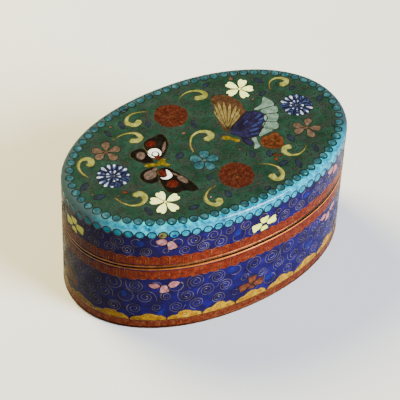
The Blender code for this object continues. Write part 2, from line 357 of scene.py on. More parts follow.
def add_wire(shape, path, place, width, closed=False):
    """A wire on edge that follows a path, its rounded top just proud of the enamel."""
    left = sideways(path, closed)
    rows = []
    for across, up in WIRE_SECTION:
        level = up if up < 0 else up * WIRE_LIFT
        rows.append(np.column_stack((path + left * across * width, np.full(len(path), level))))
    vertices = place(np.stack(rows, 1).reshape(-1, 3))
    shape.add(vertices, skin(len(path), len(rows), closed, flip=False))


def add_cell(shape, outline, place, lift=CELL_LIFT, spacing=0.4, dish=0.0, depth=SINK):
    """A slab of enamel filling an outline, its top dished a little below the wires round it."""
    if signed_area(outline) < 0:
        outline = outline[::-1]
    low, high = outline.min(0), outline.max(0)
    xs = np.arange(low[0] + spacing / 2, high[0], spacing)
    ys = np.arange(low[1] + spacing / 2, high[1], spacing)
    grid = np.array([(x, y) for x in xs for y in ys]).reshape(-1, 2)
    grid = grid[inside(grid, grown(outline, -0.3 * spacing))]
    flat = [Vector(point) for point in np.concatenate((outline, grid))]
    border = list(range(len(outline)))
    made = delaunay_2d_cdt(flat, [], [border], 1, 1e-6)
    top = np.array([tuple(point) for point in made[0]])
    triangles = [tuple(face) for face in made[2]]
    edges = border_edges(triangles)
    rim = np.zeros(len(top), bool)
    rim[[corner for edge in edges for corner in edge]] = True
    upper = place(np.column_stack((top, np.where(rim, lift, lift - dish))))
    lower = place(np.column_stack((top, np.full(len(top), -depth))))
    count = len(top)
    faces = triangles + [tuple(count + corner for corner in reversed(face)) for face in triangles]
    faces += [(end, start, count + start, count + end) for start, end in edges]
    shape.add(np.concatenate((upper, lower)), faces)


def border_edges(triangles):
    """The edges that only one triangle has, in that triangle's direction."""
    owned = {(face[k], face[(k + 1) % 3]) for face in triangles for k in range(3)}
    return [edge for edge in owned if (edge[1], edge[0]) not in owned]


STATIONS = GIRTH * np.arange(ROUND_STEPS) / ROUND_STEPS


def oval_at(inset):
    """Points round the oval moved in by inset, one for each station."""
    x, y, nx, ny = around(STATIONS)
    return np.column_stack((x - nx * inset, y - ny * inset))


def add_sweep(shape, profile, wavy):
    """A closed profile of (inset, z) points carried round the oval."""
    x, y = oval_at(0.0).T
    columns = []
    for inset, z in profile:
        ripple = wavy * unevenness(x, y, np.full(ROUND_STEPS, z))
        columns.append(np.column_stack((oval_at(inset - ripple), z + 0.4 * ripple)))
    shape.add(np.stack(columns, 1).reshape(-1, 3), skin(ROUND_STEPS, len(profile)))


ROUND_CORNER = (90, 60, 30, 0)    # degrees at which a rounded corner has its points


def rounded_profile(outer, inner, low, high, radius):
    """A band's section with rounded corners, as (inset, z), from its outer foot upwards."""
    corners = ((outer + radius, low + radius, 180), (outer + radius, high - radius, 90),
               (inner - radius, high - radius, 0), (inner - radius, low + radius, -90))
    profile = []
    for inset, z, start in corners:
        for degrees in ROUND_CORNER:
            angle = math.radians(start + degrees)
            profile.append((inset + radius * math.cos(angle), z + radius * math.sin(angle)))
    return profile


BAND_STEP = 0.5


def band_profile(low, high):
    """An enamel band's section: an outer face divided finely enough to be uneven, and a back."""
    steps = round((high - low) / BAND_STEP) + 2
    outer = [(SKIN_INSET, z) for z in np.linspace(low, high, steps)]
    return outer + [(ENAMEL_DEPTH, high), (ENAMEL_DEPTH, low)]


PLATE_RINGS = (0.97, 0.9, 0.78, 0.62, 0.45, 0.28, 0.12)    # sizes of a plate's inner rings


def add_plate(shape, low, high, bulge):
    """A closed oval sheet inside the walls, made of rings that shrink to the middle from a rounded edge."""
    rings = [(0.0, factor, high + bulge * (1 - factor ** 2)) for factor in reversed(PLATE_RINGS)]
    for degrees in ROUND_CORNER:
        angle = math.radians(degrees)
        back = LINING_RADIUS * (1 - math.cos(math.pi / 2 - angle))
        rings.append((back, 1.0, high - LINING_RADIUS * (1 - math.sin(angle))))
    rings += [(0.0, factor, low) for factor in (1.0, *PLATE_RINGS)]
    vertices = [np.column_stack((oval_at(LINING_OUT + back) * factor, np.full(ROUND_STEPS, z)))
                for back, factor, z in rings]
    shape.add(np.concatenate(vertices), skin(len(rings), ROUND_STEPS, closed=False))


# ---------------------------------------------------------------- materials

LEFT_SHADE_SPAN = (-29.5, -14)  # from the left end to where the painted shade at that end is gone


class Nodes:
    """A material's node tree, with short calls for the nodes that the enamels and metals share."""

    def __init__(self, name):
        self.material = bpy.data.materials.new(name)
        self.material.use_nodes = True
        self.tree = self.material.node_tree
        self.shader = self.tree.nodes["Principled BSDF"]
        self.place = self.tree.nodes.new("ShaderNodeTexCoord").outputs["Object"]

    def link(self, output, target):
        self.tree.links.new(output, target)

    def node(self, kind, **values):
        """A new node with some of its inputs set; an underscore in a name stands for a space."""
        made = self.tree.nodes.new("ShaderNode" + kind)
        for name, value in values.items():
            made.inputs[name.replace("_", " ")].default_value = value
        return made

    def noise(self, size, detail=3.0, roughness=0.55, stretch=(1, 1, 1)):
        """Noise with features about size millimetres across."""
        mapping = self.node("Mapping", Scale=stretch)
        self.link(self.place, mapping.inputs["Vector"])
        texture = self.node("TexNoise", Scale=1 / (size * MM), Detail=detail, Roughness=roughness)
        self.link(mapping.outputs["Vector"], texture.inputs["Vector"])
        return texture.outputs["Fac"]

    def spots(self, size):
        """Distance from scattered points about size millimetres apart."""
        texture = self.node("TexVoronoi", Scale=1 / (size * MM))
        self.link(self.place, texture.inputs["Vector"])
        return texture.outputs["Distance"]

    def ramp(self, value, stops):
        """Colours, or grey levels, at positions along a value."""
        ramp = self.node("ValToRGB")
        elements = ramp.color_ramp.elements
        while len(elements) < len(stops):
            elements.new(0.5)
        for element, (position, colour) in zip(elements, stops):
            element.position = position
            element.color = (*colour, 1) if isinstance(colour, tuple) else (colour, colour, colour, 1)
        self.link(value, ramp.inputs["Fac"])
        return ramp.outputs["Color"]

    def mix(self, factor, first, second, blend="MIX"):
        mix = self.node("Mix")
        mix.data_type = "RGBA"
        mix.blend_type = blend
        colours = [socket for socket in mix.inputs if socket.type == "RGBA"]
        for target, value in zip((mix.inputs[0], *colours), (factor, first, second)):
            if isinstance(value, bpy.types.NodeSocket):
                self.link(value, target)
            else:
                target.default_value = (*value, 1) if isinstance(value, tuple) else value
        return next(socket for socket in mix.outputs if socket.type == "RGBA")

    def multiplied(self, colour, by):
        return self.mix(1.0, colour, by, "MULTIPLY")

    def along(self, direction, start, end):
        """0 to 1 between two distances in millimetres along a direction."""
        product = self.tree.nodes.new("ShaderNodeVectorMath")
        product.operation = "DOT_PRODUCT"
        self.link(self.place, product.inputs[0])
        product.inputs[1].default_value = direction
        span = self.node("MapRange", From_Min=start * MM, From_Max=end * MM)
        self.link(product.outputs["Value"], span.inputs["Value"])
        return span.outputs["Result"]

    def near_height(self, low, high, fade):
        """1 between two heights in millimetres, fading to 0 just outside them."""
        edge = fade / (high - low + 2 * fade)
        height = self.along((0, 0, 1), low - fade, high + fade)
        return self.ramp(height, ((0.0, 0.0), (edge, 1.0), (1 - edge, 1.0), (1.0, 0.0)))

    def to_the_right(self, start, end):
        """A grey level that rises from 0 to 1 between two places along the box, from left to right."""
        return self.ramp(self.along((1, 0, 0), start, end), ((0.0, 0.0), (1.0, 1.0)))

    def shaded_left_end(self, colour, level):
        """A colour darkened to a grey level at the left end: painted shade on the end turned from the light.
        """
        halfway = 0.5 + level / 2
        left_end = self.along((1, 0, 0), *LEFT_SHADE_SPAN)
        return self.multiplied(colour, self.ramp(left_end, ((0.0, level), (0.5, halfway), (1.0, 1.0))))

    def bump(self, height, distance, strength, below=None):
        bump = self.node("Bump", Distance=distance * MM, Strength=strength)
        self.link(height, bump.inputs["Height"])
        if below is not None:
            self.link(below, bump.inputs["Normal"])
        return bump.outputs["Normal"]

    def finish(self, colour, roughness, normal, shine, metallic=0.0):
        """Set the shader; values that are the same all over are set on it directly, for the export."""
        self.link(colour, self.shader.inputs["Base Color"])
        self.link(roughness, self.shader.inputs["Roughness"])
        self.link(normal, self.shader.inputs["Normal"])
        self.shader.inputs["Specular IOR Level"].default_value = shine
        self.shader.inputs["Metallic"].default_value = metallic
        return self.material


WALL_SHINE = 0.02        # the walls' enamel is rubbed duller than the top's
# roughness of the shoulder where it is painted darker, away from its front
BACK_SHADE_ROUGHNESS = 0.8


def enamel(name, dark, middle, light, patch=1.6, pits=0.55, gloss=(0.16, 0.34), stain=None, shine=0.08,
           grain=0.85, back_shade=None, left_shade=None):
    """Old ground glass: cloudy colour in patches, fine specks, pinholes and a worn gloss.

    Sizes are in millimetres: patch of the clouds of colour, pits between pinholes. Stain is a second
    colour in blotches, and grain how dark the specks are. The argument after grain is a darker colour
    painted on all but the front edge, as painted shade where the glass faces away from the light; the
    last is the grey level that a wall's enamel is darkened to at the left end, also painted shade.
    """
    nodes = Nodes(name)
    colour = nodes.ramp(nodes.noise(patch, 5.0, 0.62), ((0.32, dark), (0.5, middle), (0.7, light)))
    worn = nodes.ramp(nodes.noise(0.8, 4.0, 0.6), ((0.35, gloss[0]), (0.7, gloss[1])))
    if stain:
        blotches = nodes.ramp(nodes.noise(2.2, 4.0, 0.6), ((0.46, 0.0), (0.66, 0.75)))
        colour = nodes.mix(blotches, colour, stain)
    # painted shade: darker everywhere but the front edge, which faces the light; rougher there too
    if back_shade:
        shaded_off_front = nodes.ramp(nodes.along((-0.05, -1, 0), 6.5, 14), ((0.0, 1.0), (1.0, 0.0)))
        colour = nodes.mix(shaded_off_front, colour, back_shade)
        worn = nodes.mix(shaded_off_front, worn, (BACK_SHADE_ROUGHNESS,) * 3)
    # painted shade: wall enamel darkened towards the left end, which is turned from the light
    if left_shade:
        colour = nodes.shaded_left_end(colour, left_shade)
    specks = nodes.ramp(nodes.noise(0.25, 2.0), ((0.3, grain), (0.7, 1.0)))
    pinholes = nodes.ramp(nodes.spots(pits), ((0.07, 0.3), (0.15, 1.0)))
    colour = nodes.multiplied(nodes.multiplied(colour, specks), pinholes)
    waves = nodes.bump(nodes.noise(0.9, 2.0), 0.03, 0.5)
    return nodes.finish(colour, worn, nodes.bump(pinholes, 0.03, 0.6, waves), WALL_SHINE if left_shade else shine)


def metal(name, dull, middle, bright, roughness=(0.28, 0.5), patch=1.2, metallic=1.0, left_shade=None, rim=False):
    """Handled copper or wire: bright where it is rubbed, brown where it isn't, and darker at the left end as
    painted shade, like the walls.
    """
    nodes = Nodes(name)
    tone = nodes.ramp(nodes.noise(patch, 5.0, 0.65), ((0.3, dull), (0.5, middle), (0.7, bright)))
    if rim:
        tone = rim_tone(nodes, tone)
    # painted shade: darkened towards the left end, as on the walls
    if left_shade:
        tone = nodes.shaded_left_end(tone, left_shade)
    gloss = nodes.ramp(nodes.noise(0.5, 3.0), ((0.3, roughness[0]), (0.7, roughness[1])))
    scratches = nodes.bump(nodes.noise(0.25, 3.0, 0.6, (1, 1, 6)), 0.012, 0.5)
    return nodes.finish(tone, gloss, scratches, 0.0, metallic)


# partly rubbed wear, partly painted highlight: the base rim's upper edge brightened towards the lit
# front-right only
WORN_HIGHLIGHT_EDGE = (BASE_RIM_TOP - 0.58, BASE_RIM_TOP - 0.12)
WORN_HIGHLIGHT_COPPER = ((0.3, (0.66, 0.17, 0.018)), (0.7, (0.95, 0.32, 0.04)))
# painted shade: the foot rim's top edge is darkened where it would catch a highlight
FOOT_LINE = (FOOT_TOP - 0.25, FOOT_TOP + 0.1)
FOOT_SHADE = (0.05, 0.015, 0.006)
# painted shade in the seam between the mouth rims, stronger towards the right
SEAM_SHADE_FOOT = BASE_RIM_TOP - 0.1
SEAM_SHADE = (0.03, 0.008, 0.003)
SEAM_SHADE_SPANS = ((LID_RIM_LOW + 0.18, -20, -6), (LID_RIM_LOW + 0.56, -2, 12))    # top, start and end of the painted shade in the seam


def rim_tone(nodes, tone):
    """The base's mouth rim has a bright edge towards the lit right, partly rubbed wear and partly painted
    highlight; painted shade darkens the seam over it and the top of the foot rim.
    """
    # bright edge only towards the lit right: partly wear, partly painted highlight
    edge = nodes.near_height(*WORN_HIGHLIGHT_EDGE, 0.1)
    worn_highlight = nodes.ramp(nodes.noise(2.0, 4.0), WORN_HIGHLIGHT_COPPER)
    tone = nodes.mix(nodes.multiplied(edge, nodes.to_the_right(-24, -8)), tone, worn_highlight)
    # painted shade over the foot rim's top edge
    tone = nodes.mix(nodes.near_height(*FOOT_LINE, 0.1), tone, FOOT_SHADE)
    # painted shade darkens the seam
    for high, start, end in SEAM_SHADE_SPANS:
        seam = nodes.near_height(SEAM_SHADE_FOOT, high, 0.04)
        tone = nodes.mix(nodes.multiplied(seam, nodes.to_the_right(start, end)), tone, SEAM_SHADE)
    return tone


# painted shade: the grey level that the walls' enamel, wires and rims are darkened to at the left end
WALL_LEFT_SHADE = 0.24

GREEN = enamel("green_ground", (0.007, 0.024, 0.015), (0.0118, 0.038, 0.025), (0.019, 0.051, 0.038),
               patch=2.6, stain=(0.026, 0.029, 0.03))
BLUE = enamel("cobalt_ground", (0.009, 0.005, 0.035), (0.013, 0.0065, 0.082), (0.018, 0.01, 0.15), patch=2.0,
              stain=(0.014, 0.009, 0.032), left_shade=WALL_LEFT_SHADE)
LIGHT_BLUE = enamel("cobalt_drops", (0.009, 0.01, 0.08), (0.012, 0.016, 0.15), (0.02, 0.035, 0.24), patch=0.9,
                    left_shade=WALL_LEFT_SHADE)
# the shoulder's darker colour off its front is painted shade
SHOULDER_BLUE = enamel("turquoise_shoulder", (0.0, 0.08, 0.15), (0.0, 0.3, 0.44), (0.006, 0.62, 0.74),
                       patch=0.9, gloss=(0.1, 0.2), shine=0.25, back_shade=(0.02, 0.055, 0.07))
DOT_BLUE = enamel("turquoise_dots", (0.002, 0.12, 0.18), (0.004, 0.25, 0.37), (0.04, 0.42, 0.53), patch=0.9,
                  left_shade=WALL_LEFT_SHADE)
DOT_TEAL = enamel("teal_dots", (0.009, 0.028, 0.042), (0.017, 0.066, 0.086), (0.048, 0.14, 0.175), patch=1.2)
RED = enamel("brick_red", (0.08, 0.009, 0.004), (0.16, 0.017, 0.006), (0.25, 0.045, 0.013), patch=0.9,
             left_shade=WALL_LEFT_SHADE)
ASTER_RED = enamel("deep_red", (0.03, 0.006, 0.004), (0.054, 0.01, 0.006), (0.078, 0.019, 0.011), patch=0.8)
OCHRE = enamel("ochre", (0.24, 0.09, 0.003), (0.46, 0.215, 0.006), (0.6, 0.37, 0.02), patch=1.2, left_shade=0.14)
FOOT_RED = enamel("foot_red", (0.08, 0.011, 0.004), (0.155, 0.024, 0.008), (0.24, 0.07, 0.02), patch=0.9,
                  left_shade=0.6)
CREAM = enamel("cream_scrolls", (0.1, 0.115, 0.024), (0.195, 0.21, 0.05), (0.3, 0.31, 0.12), patch=1.0)
WHITE = enamel("white_petals", (0.6, 0.68, 0.25), (0.9, 0.98, 0.36), (0.95, 1.0, 0.54), patch=0.9, grain=0.94)
WALL_CREAM = enamel("cream_petals", (0.7, 0.7, 0.07), (0.95, 0.97, 0.14), (0.98, 0.99, 0.28), patch=0.9,
                    grain=0.94, left_shade=WALL_LEFT_SHADE)
ROSE = enamel("rose_petals", (0.05, 0.03, 0.022), (0.085, 0.054, 0.038), (0.13, 0.09, 0.068), patch=0.8)
PINK = enamel("pink_petals", (0.26, 0.075, 0.08), (0.41, 0.145, 0.15), (0.62, 0.38, 0.34), patch=0.8,
              grain=0.9, left_shade=WALL_LEFT_SHADE)
ORANGE = enamel("orange_red", (0.036, 0.009, 0.003), (0.075, 0.022, 0.008), (0.13, 0.046, 0.015), patch=0.8)
WALL_ORANGE = enamel("orange_petals", (0.07, 0.016, 0.007), (0.13, 0.032, 0.014), (0.2, 0.07, 0.03),
                     patch=0.9, left_shade=WALL_LEFT_SHADE)
OLIVE = enamel("olive_dot", (0.05, 0.06, 0.015), (0.1, 0.12, 0.03), (0.18, 0.2, 0.07), patch=0.6)
BLACK = enamel("butterfly_black", (0.0035, 0.0025, 0.002), (0.006, 0.005, 0.0035), (0.013, 0.009, 0.007))
SPOT_WHITE = enamel("spot_white", (0.75, 0.76, 0.7), (0.9, 0.9, 0.86), (0.96, 0.96, 0.94), patch=0.8,
                    grain=0.92)
SPOT_PINK = enamel("wing_pink", (0.045, 0.03, 0.026), (0.085, 0.056, 0.046), (0.14, 0.1, 0.09), patch=0.8)
SPOT_RED = enamel("wing_red", (0.03, 0.0035, 0.002), (0.054, 0.006, 0.0035), (0.085, 0.015, 0.008), patch=0.6)
YELLOW = enamel("butterfly_yellow", (0.04, 0.028, 0.0025), (0.1, 0.075, 0.005), (0.21, 0.165, 0.018),
                patch=0.6)
BROWN = enamel("wing_brown", (0.028, 0.013, 0.007), (0.055, 0.026, 0.013), (0.09, 0.046, 0.024), patch=1.1)
STRIPE = enamel("wing_ochre", (0.095, 0.068, 0.02), (0.165, 0.122, 0.042), (0.25, 0.2, 0.08), patch=0.9)
VIOLET = enamel("wing_violet", (0.008, 0.006, 0.015), (0.013, 0.01, 0.032), (0.02, 0.022, 0.09), patch=1.8)
WING_BLUE = enamel("wing_blue", (0.01, 0.012, 0.05), (0.02, 0.028, 0.11), (0.05, 0.065, 0.19), patch=0.9)
PALE = enamel("wing_pale", (0.06, 0.11, 0.09), (0.1, 0.17, 0.14), (0.19, 0.26, 0.24), patch=1.0)
NAVY = enamel("aster_navy", (0.005, 0.006, 0.012), (0.008, 0.01, 0.026), (0.013, 0.018, 0.055), patch=0.8)
ASTER_BLUE = enamel("aster_blue", (0.008, 0.013, 0.045), (0.022, 0.035, 0.12), (0.065, 0.1, 0.24), patch=0.7)
ASTER_TIP = enamel("aster_white", (0.07, 0.1, 0.2), (0.3, 0.35, 0.46), (0.75, 0.78, 0.8), patch=0.8,
                   grain=0.9)
LEAF = enamel("leaf_blue", (0.009, 0.013, 0.018), (0.013, 0.02, 0.034), (0.02, 0.031, 0.06), patch=0.9)
LINING = enamel("counter_enamel", (0.014, 0.1, 0.14), (0.025, 0.17, 0.23), (0.045, 0.24, 0.31), patch=3.0,
                pits=0.9)

COPPER = metal("copper", (0.12, 0.04, 0.016), (0.22, 0.08, 0.03), (0.42, 0.19, 0.08), (0.24, 0.42))
RIM_COPPER = metal("copper_rims", (0.08, 0.025, 0.008), (0.18, 0.057, 0.016), (0.32, 0.115, 0.032),
                   (0.26, 0.42), left_shade=WALL_LEFT_SHADE, rim=True)
WALL_WIRE = metal("wall_wire", (0.045, 0.036, 0.036), (0.11, 0.092, 0.09), (0.26, 0.22, 0.2), (0.3, 0.5),
                  2.0, 0.8, left_shade=0.06)
# a brighter copy of the wall wire, for the glints on the inner hooks: painted highlight
HIGHLIGHT_WIRE = metal("highlight_wire", (0.2, 0.17, 0.12), (0.36, 0.3, 0.2), (0.6, 0.5, 0.34), (0.25, 0.4), 1.0,
                    0.7, left_shade=WALL_LEFT_SHADE)
DARK_WIRE = metal("dark_wire", (0.004, 0.0035, 0.003), (0.011, 0.009, 0.006), (0.034, 0.025, 0.013),
                  (0.3, 0.5), 0.8, 0.6)
BRONZE_WIRE = metal("bronze_wire", (0.01, 0.009, 0.006), (0.024, 0.02, 0.012), (0.064, 0.046, 0.022),
                    (0.3, 0.5), 0.9, 0.7)
GOLD_WIRE = metal("gold_wire", (0.03, 0.021, 0.008), (0.075, 0.053, 0.017), (0.18, 0.13, 0.045),
                  (0.28, 0.45), 0.7, 0.8)
EMBER_WIRE = metal("red_gold_wire", (0.05, 0.011, 0.004), (0.12, 0.03, 0.009), (0.38, 0.16, 0.04),
                   (0.25, 0.42), 1.6, 0.8, left_shade=0.08)
RUST_WIRE = metal("rust_wire", (0.022, 0.008, 0.004), (0.054, 0.02, 0.009), (0.13, 0.058, 0.022),
                  (0.3, 0.5), 0.8, 0.6)


# ---------------------------------------------------------------- copper rims and linings

def swept_piece(name, profile, material, body, slot, node, wavy=1.0):
    shape = Shape()
    add_sweep(shape, profile, wavy)
    make_piece(name, shape, material, body, node)


SEAM_CLOSES = 0.1         # each mouth rim leans this much into the seam at the left end
LEAN_STARTS = -6          # x where a rim starts to lean
LEAN_FADE = 10            # and how much further left it leans fully
METAL_WAVY = 0.8          # metal is a little less wavy than enamel
COLLAR_RADIUS = 0.18
FLOOR_BULGE = 0.12

# Name, heights, corner radius, which way it leans, body, CAD node
RIMS = (
    ("foot_rim", 0.0, FOOT_TOP, 0.2, 0, "base", "base_foot_rim"),
    ("base_rim", BASE_RIM_LOW, BASE_RIM_TOP, 0.29, 1, "base", "base_mouth_rim"),
    ("lid_rim", LID_RIM_LOW, LID_RIM_TOP, 0.3, -1, "lid", "lid_mouth_rim"),
)


def make_rims():
    for name, low, high, radius, lean, body, node in RIMS:
        shape = Shape()
        add_sweep(shape, rounded_profile(0.0, RIM_DEPTH, low, high, radius), METAL_WAVY)
        ring = shape.vertices[0]
        left = np.clip((LEAN_STARTS - ring[:, 0]) / LEAN_FADE, 0, 1)
        by_seam = (ring[:, 2] - (low + high) / 2) * lean > 0
        ring[:, 2] += lean * SEAM_CLOSES * left * by_seam
        make_piece(name, shape, RIM_COPPER, body, node)
    collar = rounded_profile(LINING_OUT, LINING_OUT + COLLAR_DEPTH, lowest("inner_collar"),
                             highest("inner_collar"), COLLAR_RADIUS)
    swept_piece("collar", collar, COPPER, "base", "copper", "inner_collar", METAL_WAVY)


def make_linings():
    walls = (
        ("base_inner_wall", "base_wall_lining", "base", highest("base_floor_lining") + 0.1),
        ("lid_inner_wall", "lid_wall_lining", "lid", lowest("lid_wall_lining")),
    )
    for name, node, body, low in walls:
        wall = rounded_profile(LINING_OUT, LINING_IN, low, highest(node), LINING_RADIUS)
        swept_piece(name, wall, LINING, body, "lining", node)
    plates = (
        ("base_inner_floor", "base_floor_lining", "base", FLOOR_BULGE),
        ("lid_inner_ceiling", "lid_ceiling_lining", "lid", 0.0),
        ("base_underside", "base_underside_enamel", "base", 0.0),
    )
    for name, node, body, bulge in plates:
        shape = Shape()
        add_plate(shape, lowest(node), highest(node), bulge)
        make_piece(name, shape, LINING, body, node)


# ---------------------------------------------------------------- grounds

def make_grounds():
    """The plain bands of enamel behind the art, the shoulder and the green of the top."""
    bands = (
        ("base_lower_red", FOOT_TOP + BAND_GAP, CLOUD_LOW + RED_UNDER_CLOUDS, FOOT_RED, "base", "red",
         "base_lower_red_enamel"),
        ("base_blue", CLOUD_LOW + RED_UNDER_CLOUDS + BAND_GAP, BASE_RIM_LOW - BAND_GAP, BLUE, "base", "blue",
         "base_blue_enamel"),
        ("lid_blue", LID_RIM_TOP + BAND_GAP, LOWER_DOTS_AT, BLUE, "lid", "blue", "lid_blue_enamel"),
    )
    for name, low, high, *finish, node in bands:
        swept_piece(name, band_profile(low, high), *finish, node)
    make_shoulder()
    shape = Shape()
    add_cell(shape, oval_at(GREEN_INSET), on_top, lift=0.0, spacing=0.45, depth=GREEN_DEPTH)
    make_piece("lid_green", shape, GREEN, "lid", "lid_top_enamel")


def make_shoulder():
    """The turquoise roll between the two rows of dots."""
    low = LOWER_DOTS_AT + BAND_GAP
    high = CORNER_START + CORNER_RADIUS * (math.pi / 2 - 1) + GREEN_INSET - SKIN_INSET
    heights = np.linspace(low, high, SHOULDER_ROWS)
    outer_face = [(height, 0.0) for height in heights]
    inner_face = [(height, -SHOULDER_DEPTH) for height in heights[::-1]]
    rows = [on_side(np.column_stack((STATIONS, np.full((ROUND_STEPS, 2), corner))))
            for corner in outer_face + inner_face]
    shape = Shape()
    shape.add(np.stack(rows, 1).reshape(-1, 3), skin(ROUND_STEPS, len(rows)))
    make_piece("lid_shoulder", shape, SHOULDER_BLUE, "lid", "lid_shoulder_enamel")


# ---------------------------------------------------------------- rows of dots

LOWER_DOTS = 74
UPPER_DOTS = 71
DOT_RADIUS = 0.76
LOWER_DOT_WIRE = 0.24
UPPER_DOT_WIRE = 0.18
DOT_JITTER = 0.06         # how far a dot may be out of its place, in mm
LOWER_DOTS_SHIFT = 0.3    # first dot's place, as a share of the pitch
ODD_DOT = 46              # one dot of the lower row is olive with an orange spot, the next half cobalt


def make_dots():
    slots = {DOT_BLUE: "turquoise", DOT_TEAL: "turquoise", OLIVE: "pale_green", ORANGE: "orange",
             LIGHT_BLUE: "blue"}
    cells = {material: Shape() for material in slots}
    wires = Shape()

    def dot(centre, size, material, place, wire):
        add_cell(cells[material], circle(centre, DOT_RADIUS * size, 0.3), place, dish=0.01)
        add_wire(wires, circle(centre, (DOT_RADIUS + wire / 2) * size, 0.2), place, wire, True)

    for index in range(LOWER_DOTS):
        distance = GIRTH * (index + LOWER_DOTS_SHIFT) / LOWER_DOTS + jitter(DOT_JITTER)
        height = LOWER_DOTS_AT + jitter(DOT_JITTER)
        material = OLIVE if index == ODD_DOT else DOT_BLUE
        dot((distance, height), random.uniform(0.93, 1.05), material, on_side, LOWER_DOT_WIRE)
        if index == ODD_DOT:
            spot = ellipse((distance - 0.28, height - 0.1), 0.8, 0.6, 70)
            add_cell(cells[ORANGE], spot, on_side, BODY_LIFT)
        if index == ODD_DOT + 1:
            spot = ellipse((distance + 0.05, height - 0.38), 0.95, 0.5)
            add_cell(cells[LIGHT_BLUE], spot, on_side, BODY_LIFT)
    ring = distances_at(UPPER_DOTS_INSET)
    for index in range(UPPER_DOTS):
        distance = np.interp(ring[-1] * index / UPPER_DOTS + jitter(DOT_JITTER), ring, OUTER_DISTANCES)
        x, y, nx, ny = around(distance)
        inset = UPPER_DOTS_INSET + jitter(DOT_JITTER)
        dot((x - nx * inset, y - ny * inset), random.uniform(0.9, 1.02), DOT_TEAL, on_corner, UPPER_DOT_WIRE)
    for material, shape in cells.items():
        make_piece("border_" + material.name, shape, material, "lid")
    make_piece("border_dot_wires", wires, DARK_WIRE, "lid")


TABLE_SKIP = 8            # every eighth entry of the table is enough to find the nearest edge


def on_corner(points):
    """Rows of (x, y, upwards) like on_top, but points over the rounded corner drop with it."""
    placed = on_top(points)
    edge = np.column_stack((TABLE_X[::TABLE_SKIP], TABLE_Y[::TABLE_SKIP]))
    inset = np.hypot(*(placed[:, None, :2] - edge[None]).transpose(2, 0, 1)).min(1)
    short = np.clip(CORNER_RADIUS + SKIN_INSET - inset, 0, CORNER_RADIUS)
    placed[:, 2] -= CORNER_RADIUS - np.sqrt(CORNER_RADIUS ** 2 - short ** 2)
    return placed


# ---------------------------------------------------------------- art on the walls

def near_outline(path, outline, margin):
    """Which points of a path lie inside an outline or within a margin of it, also across the +X end."""
    path = path - np.outer(np.round((path[:, 0] - outline[0, 0]) / GIRTH), (GIRTH, 0.0))
    if np.any(path.min(0) > outline.max(0) + margin) or np.any(path.max(0) < outline.min(0) - margin):
        return np.zeros(len(path), bool)
    gap = np.hypot(*(path[:, None] - outline[None]).transpose(2, 0, 1)).min(1)
    return (gap < margin) | inside(path, outline)


def longest_run(path, kept):
    """The longest unbroken stretch of the kept points of a path."""
    best = (0, 0)
    start = None
    for index, keep in enumerate([*kept, False]):
        if keep and start is None:
            start = index
        if not keep and start is not None:
            best = max(best, (index - start, start))
            start = None
    return path[best[1]:best[1] + best[0]]


def clear_of(path, outlines, margin):
    """What is left of a path once the parts over or too near the outlines are cut away."""
    blocked = np.zeros(len(path), bool)
    for outline in outlines:
        blocked |= near_outline(path, outline, margin)
    return longest_run(path, ~blocked)


SCALLOPS = 78
SCALLOP_WIRE = 0.13
SCALLOP_GAP = 0.03        # between the scallops and the copper rims
INNER_SCALLOP = 0.6       # how far the wire inside each tongue stays from its tip
SCALLOP_SHAPE = ((-1.0, 0.0), (-1.0, 0.72), (-0.72, 0.92), (0.0, 1.0), (0.72, 0.92), (1.0, 0.72), (1.0, 0.0))

# Rows of scallops: name, height of the tips and of the straight ends, body, CAD node
SCALLOP_ROWS = (
    ("base_scallop", BASE_SCALLOP_TIP, BASE_RIM_LOW - SCALLOP_GAP, "base", "base_upper_red_enamel"),
    ("lid_scallop", LID_SCALLOP_TIP, LID_RIM_TOP + SCALLOP_GAP, "lid", "lid_red_enamel"),
)


def scallop(centre, root, tip, width):
    """A tongue with a round tip."""
    half = width / 2
    points = [(centre + across * half, root + (tip - root) * along) for across, along in SCALLOP_SHAPE]
    return smooth(points, 0.2)


def make_scallops():
    """The red tongues that hang under the base's mouth and stand over the lid's."""
    pitch = GIRTH / SCALLOPS
    for name, tips, root, body, node in SCALLOP_ROWS:
        back = math.copysign(1.0, root - tips)
        cells = Shape()
        wires = Shape()
        for index in range(SCALLOPS):
            centre = index * pitch + jitter(0.05)
            tip = tips + back * random.uniform(0.0, 0.25)
            path = scallop(centre, root, tip, pitch)
            add_cell(cells, path, on_side, spacing=0.5)
            add_wire(wires, path, on_side, SCALLOP_WIRE)
            inner = scallop(centre, root, tip + back * INNER_SCALLOP, pitch * 0.5)
            add_wire(wires, inner, on_side, SCALLOP_WIRE * 0.8)
        make_piece(name + "_cells", cells, RED, body, node)
        make_piece(name + "_wires", wires, EMBER_WIRE, body)


CHAIN_ARCS = 120
CHAIN_WIRE = 0.14


def make_chain():
    """Small overlapping wire arcs along the red band over the foot."""
    wires = Shape()
    pitch = GIRTH / CHAIN_ARCS
    for index in range(CHAIN_ARCS):
        start = (index + jitter(0.1)) * pitch
        arc = [(start, FOOT_TOP + 0.15), (start + 0.3 * pitch, CLOUD_LOW - 0.5),
               (start + 0.9 * pitch, CLOUD_LOW - 0.25), (start + 1.2 * pitch, FOOT_TOP + 0.5)]
        add_wire(wires, smooth(arc, 0.2), on_side, CHAIN_WIRE)
    make_piece("base_chain_wires", wires, EMBER_WIRE, "base")


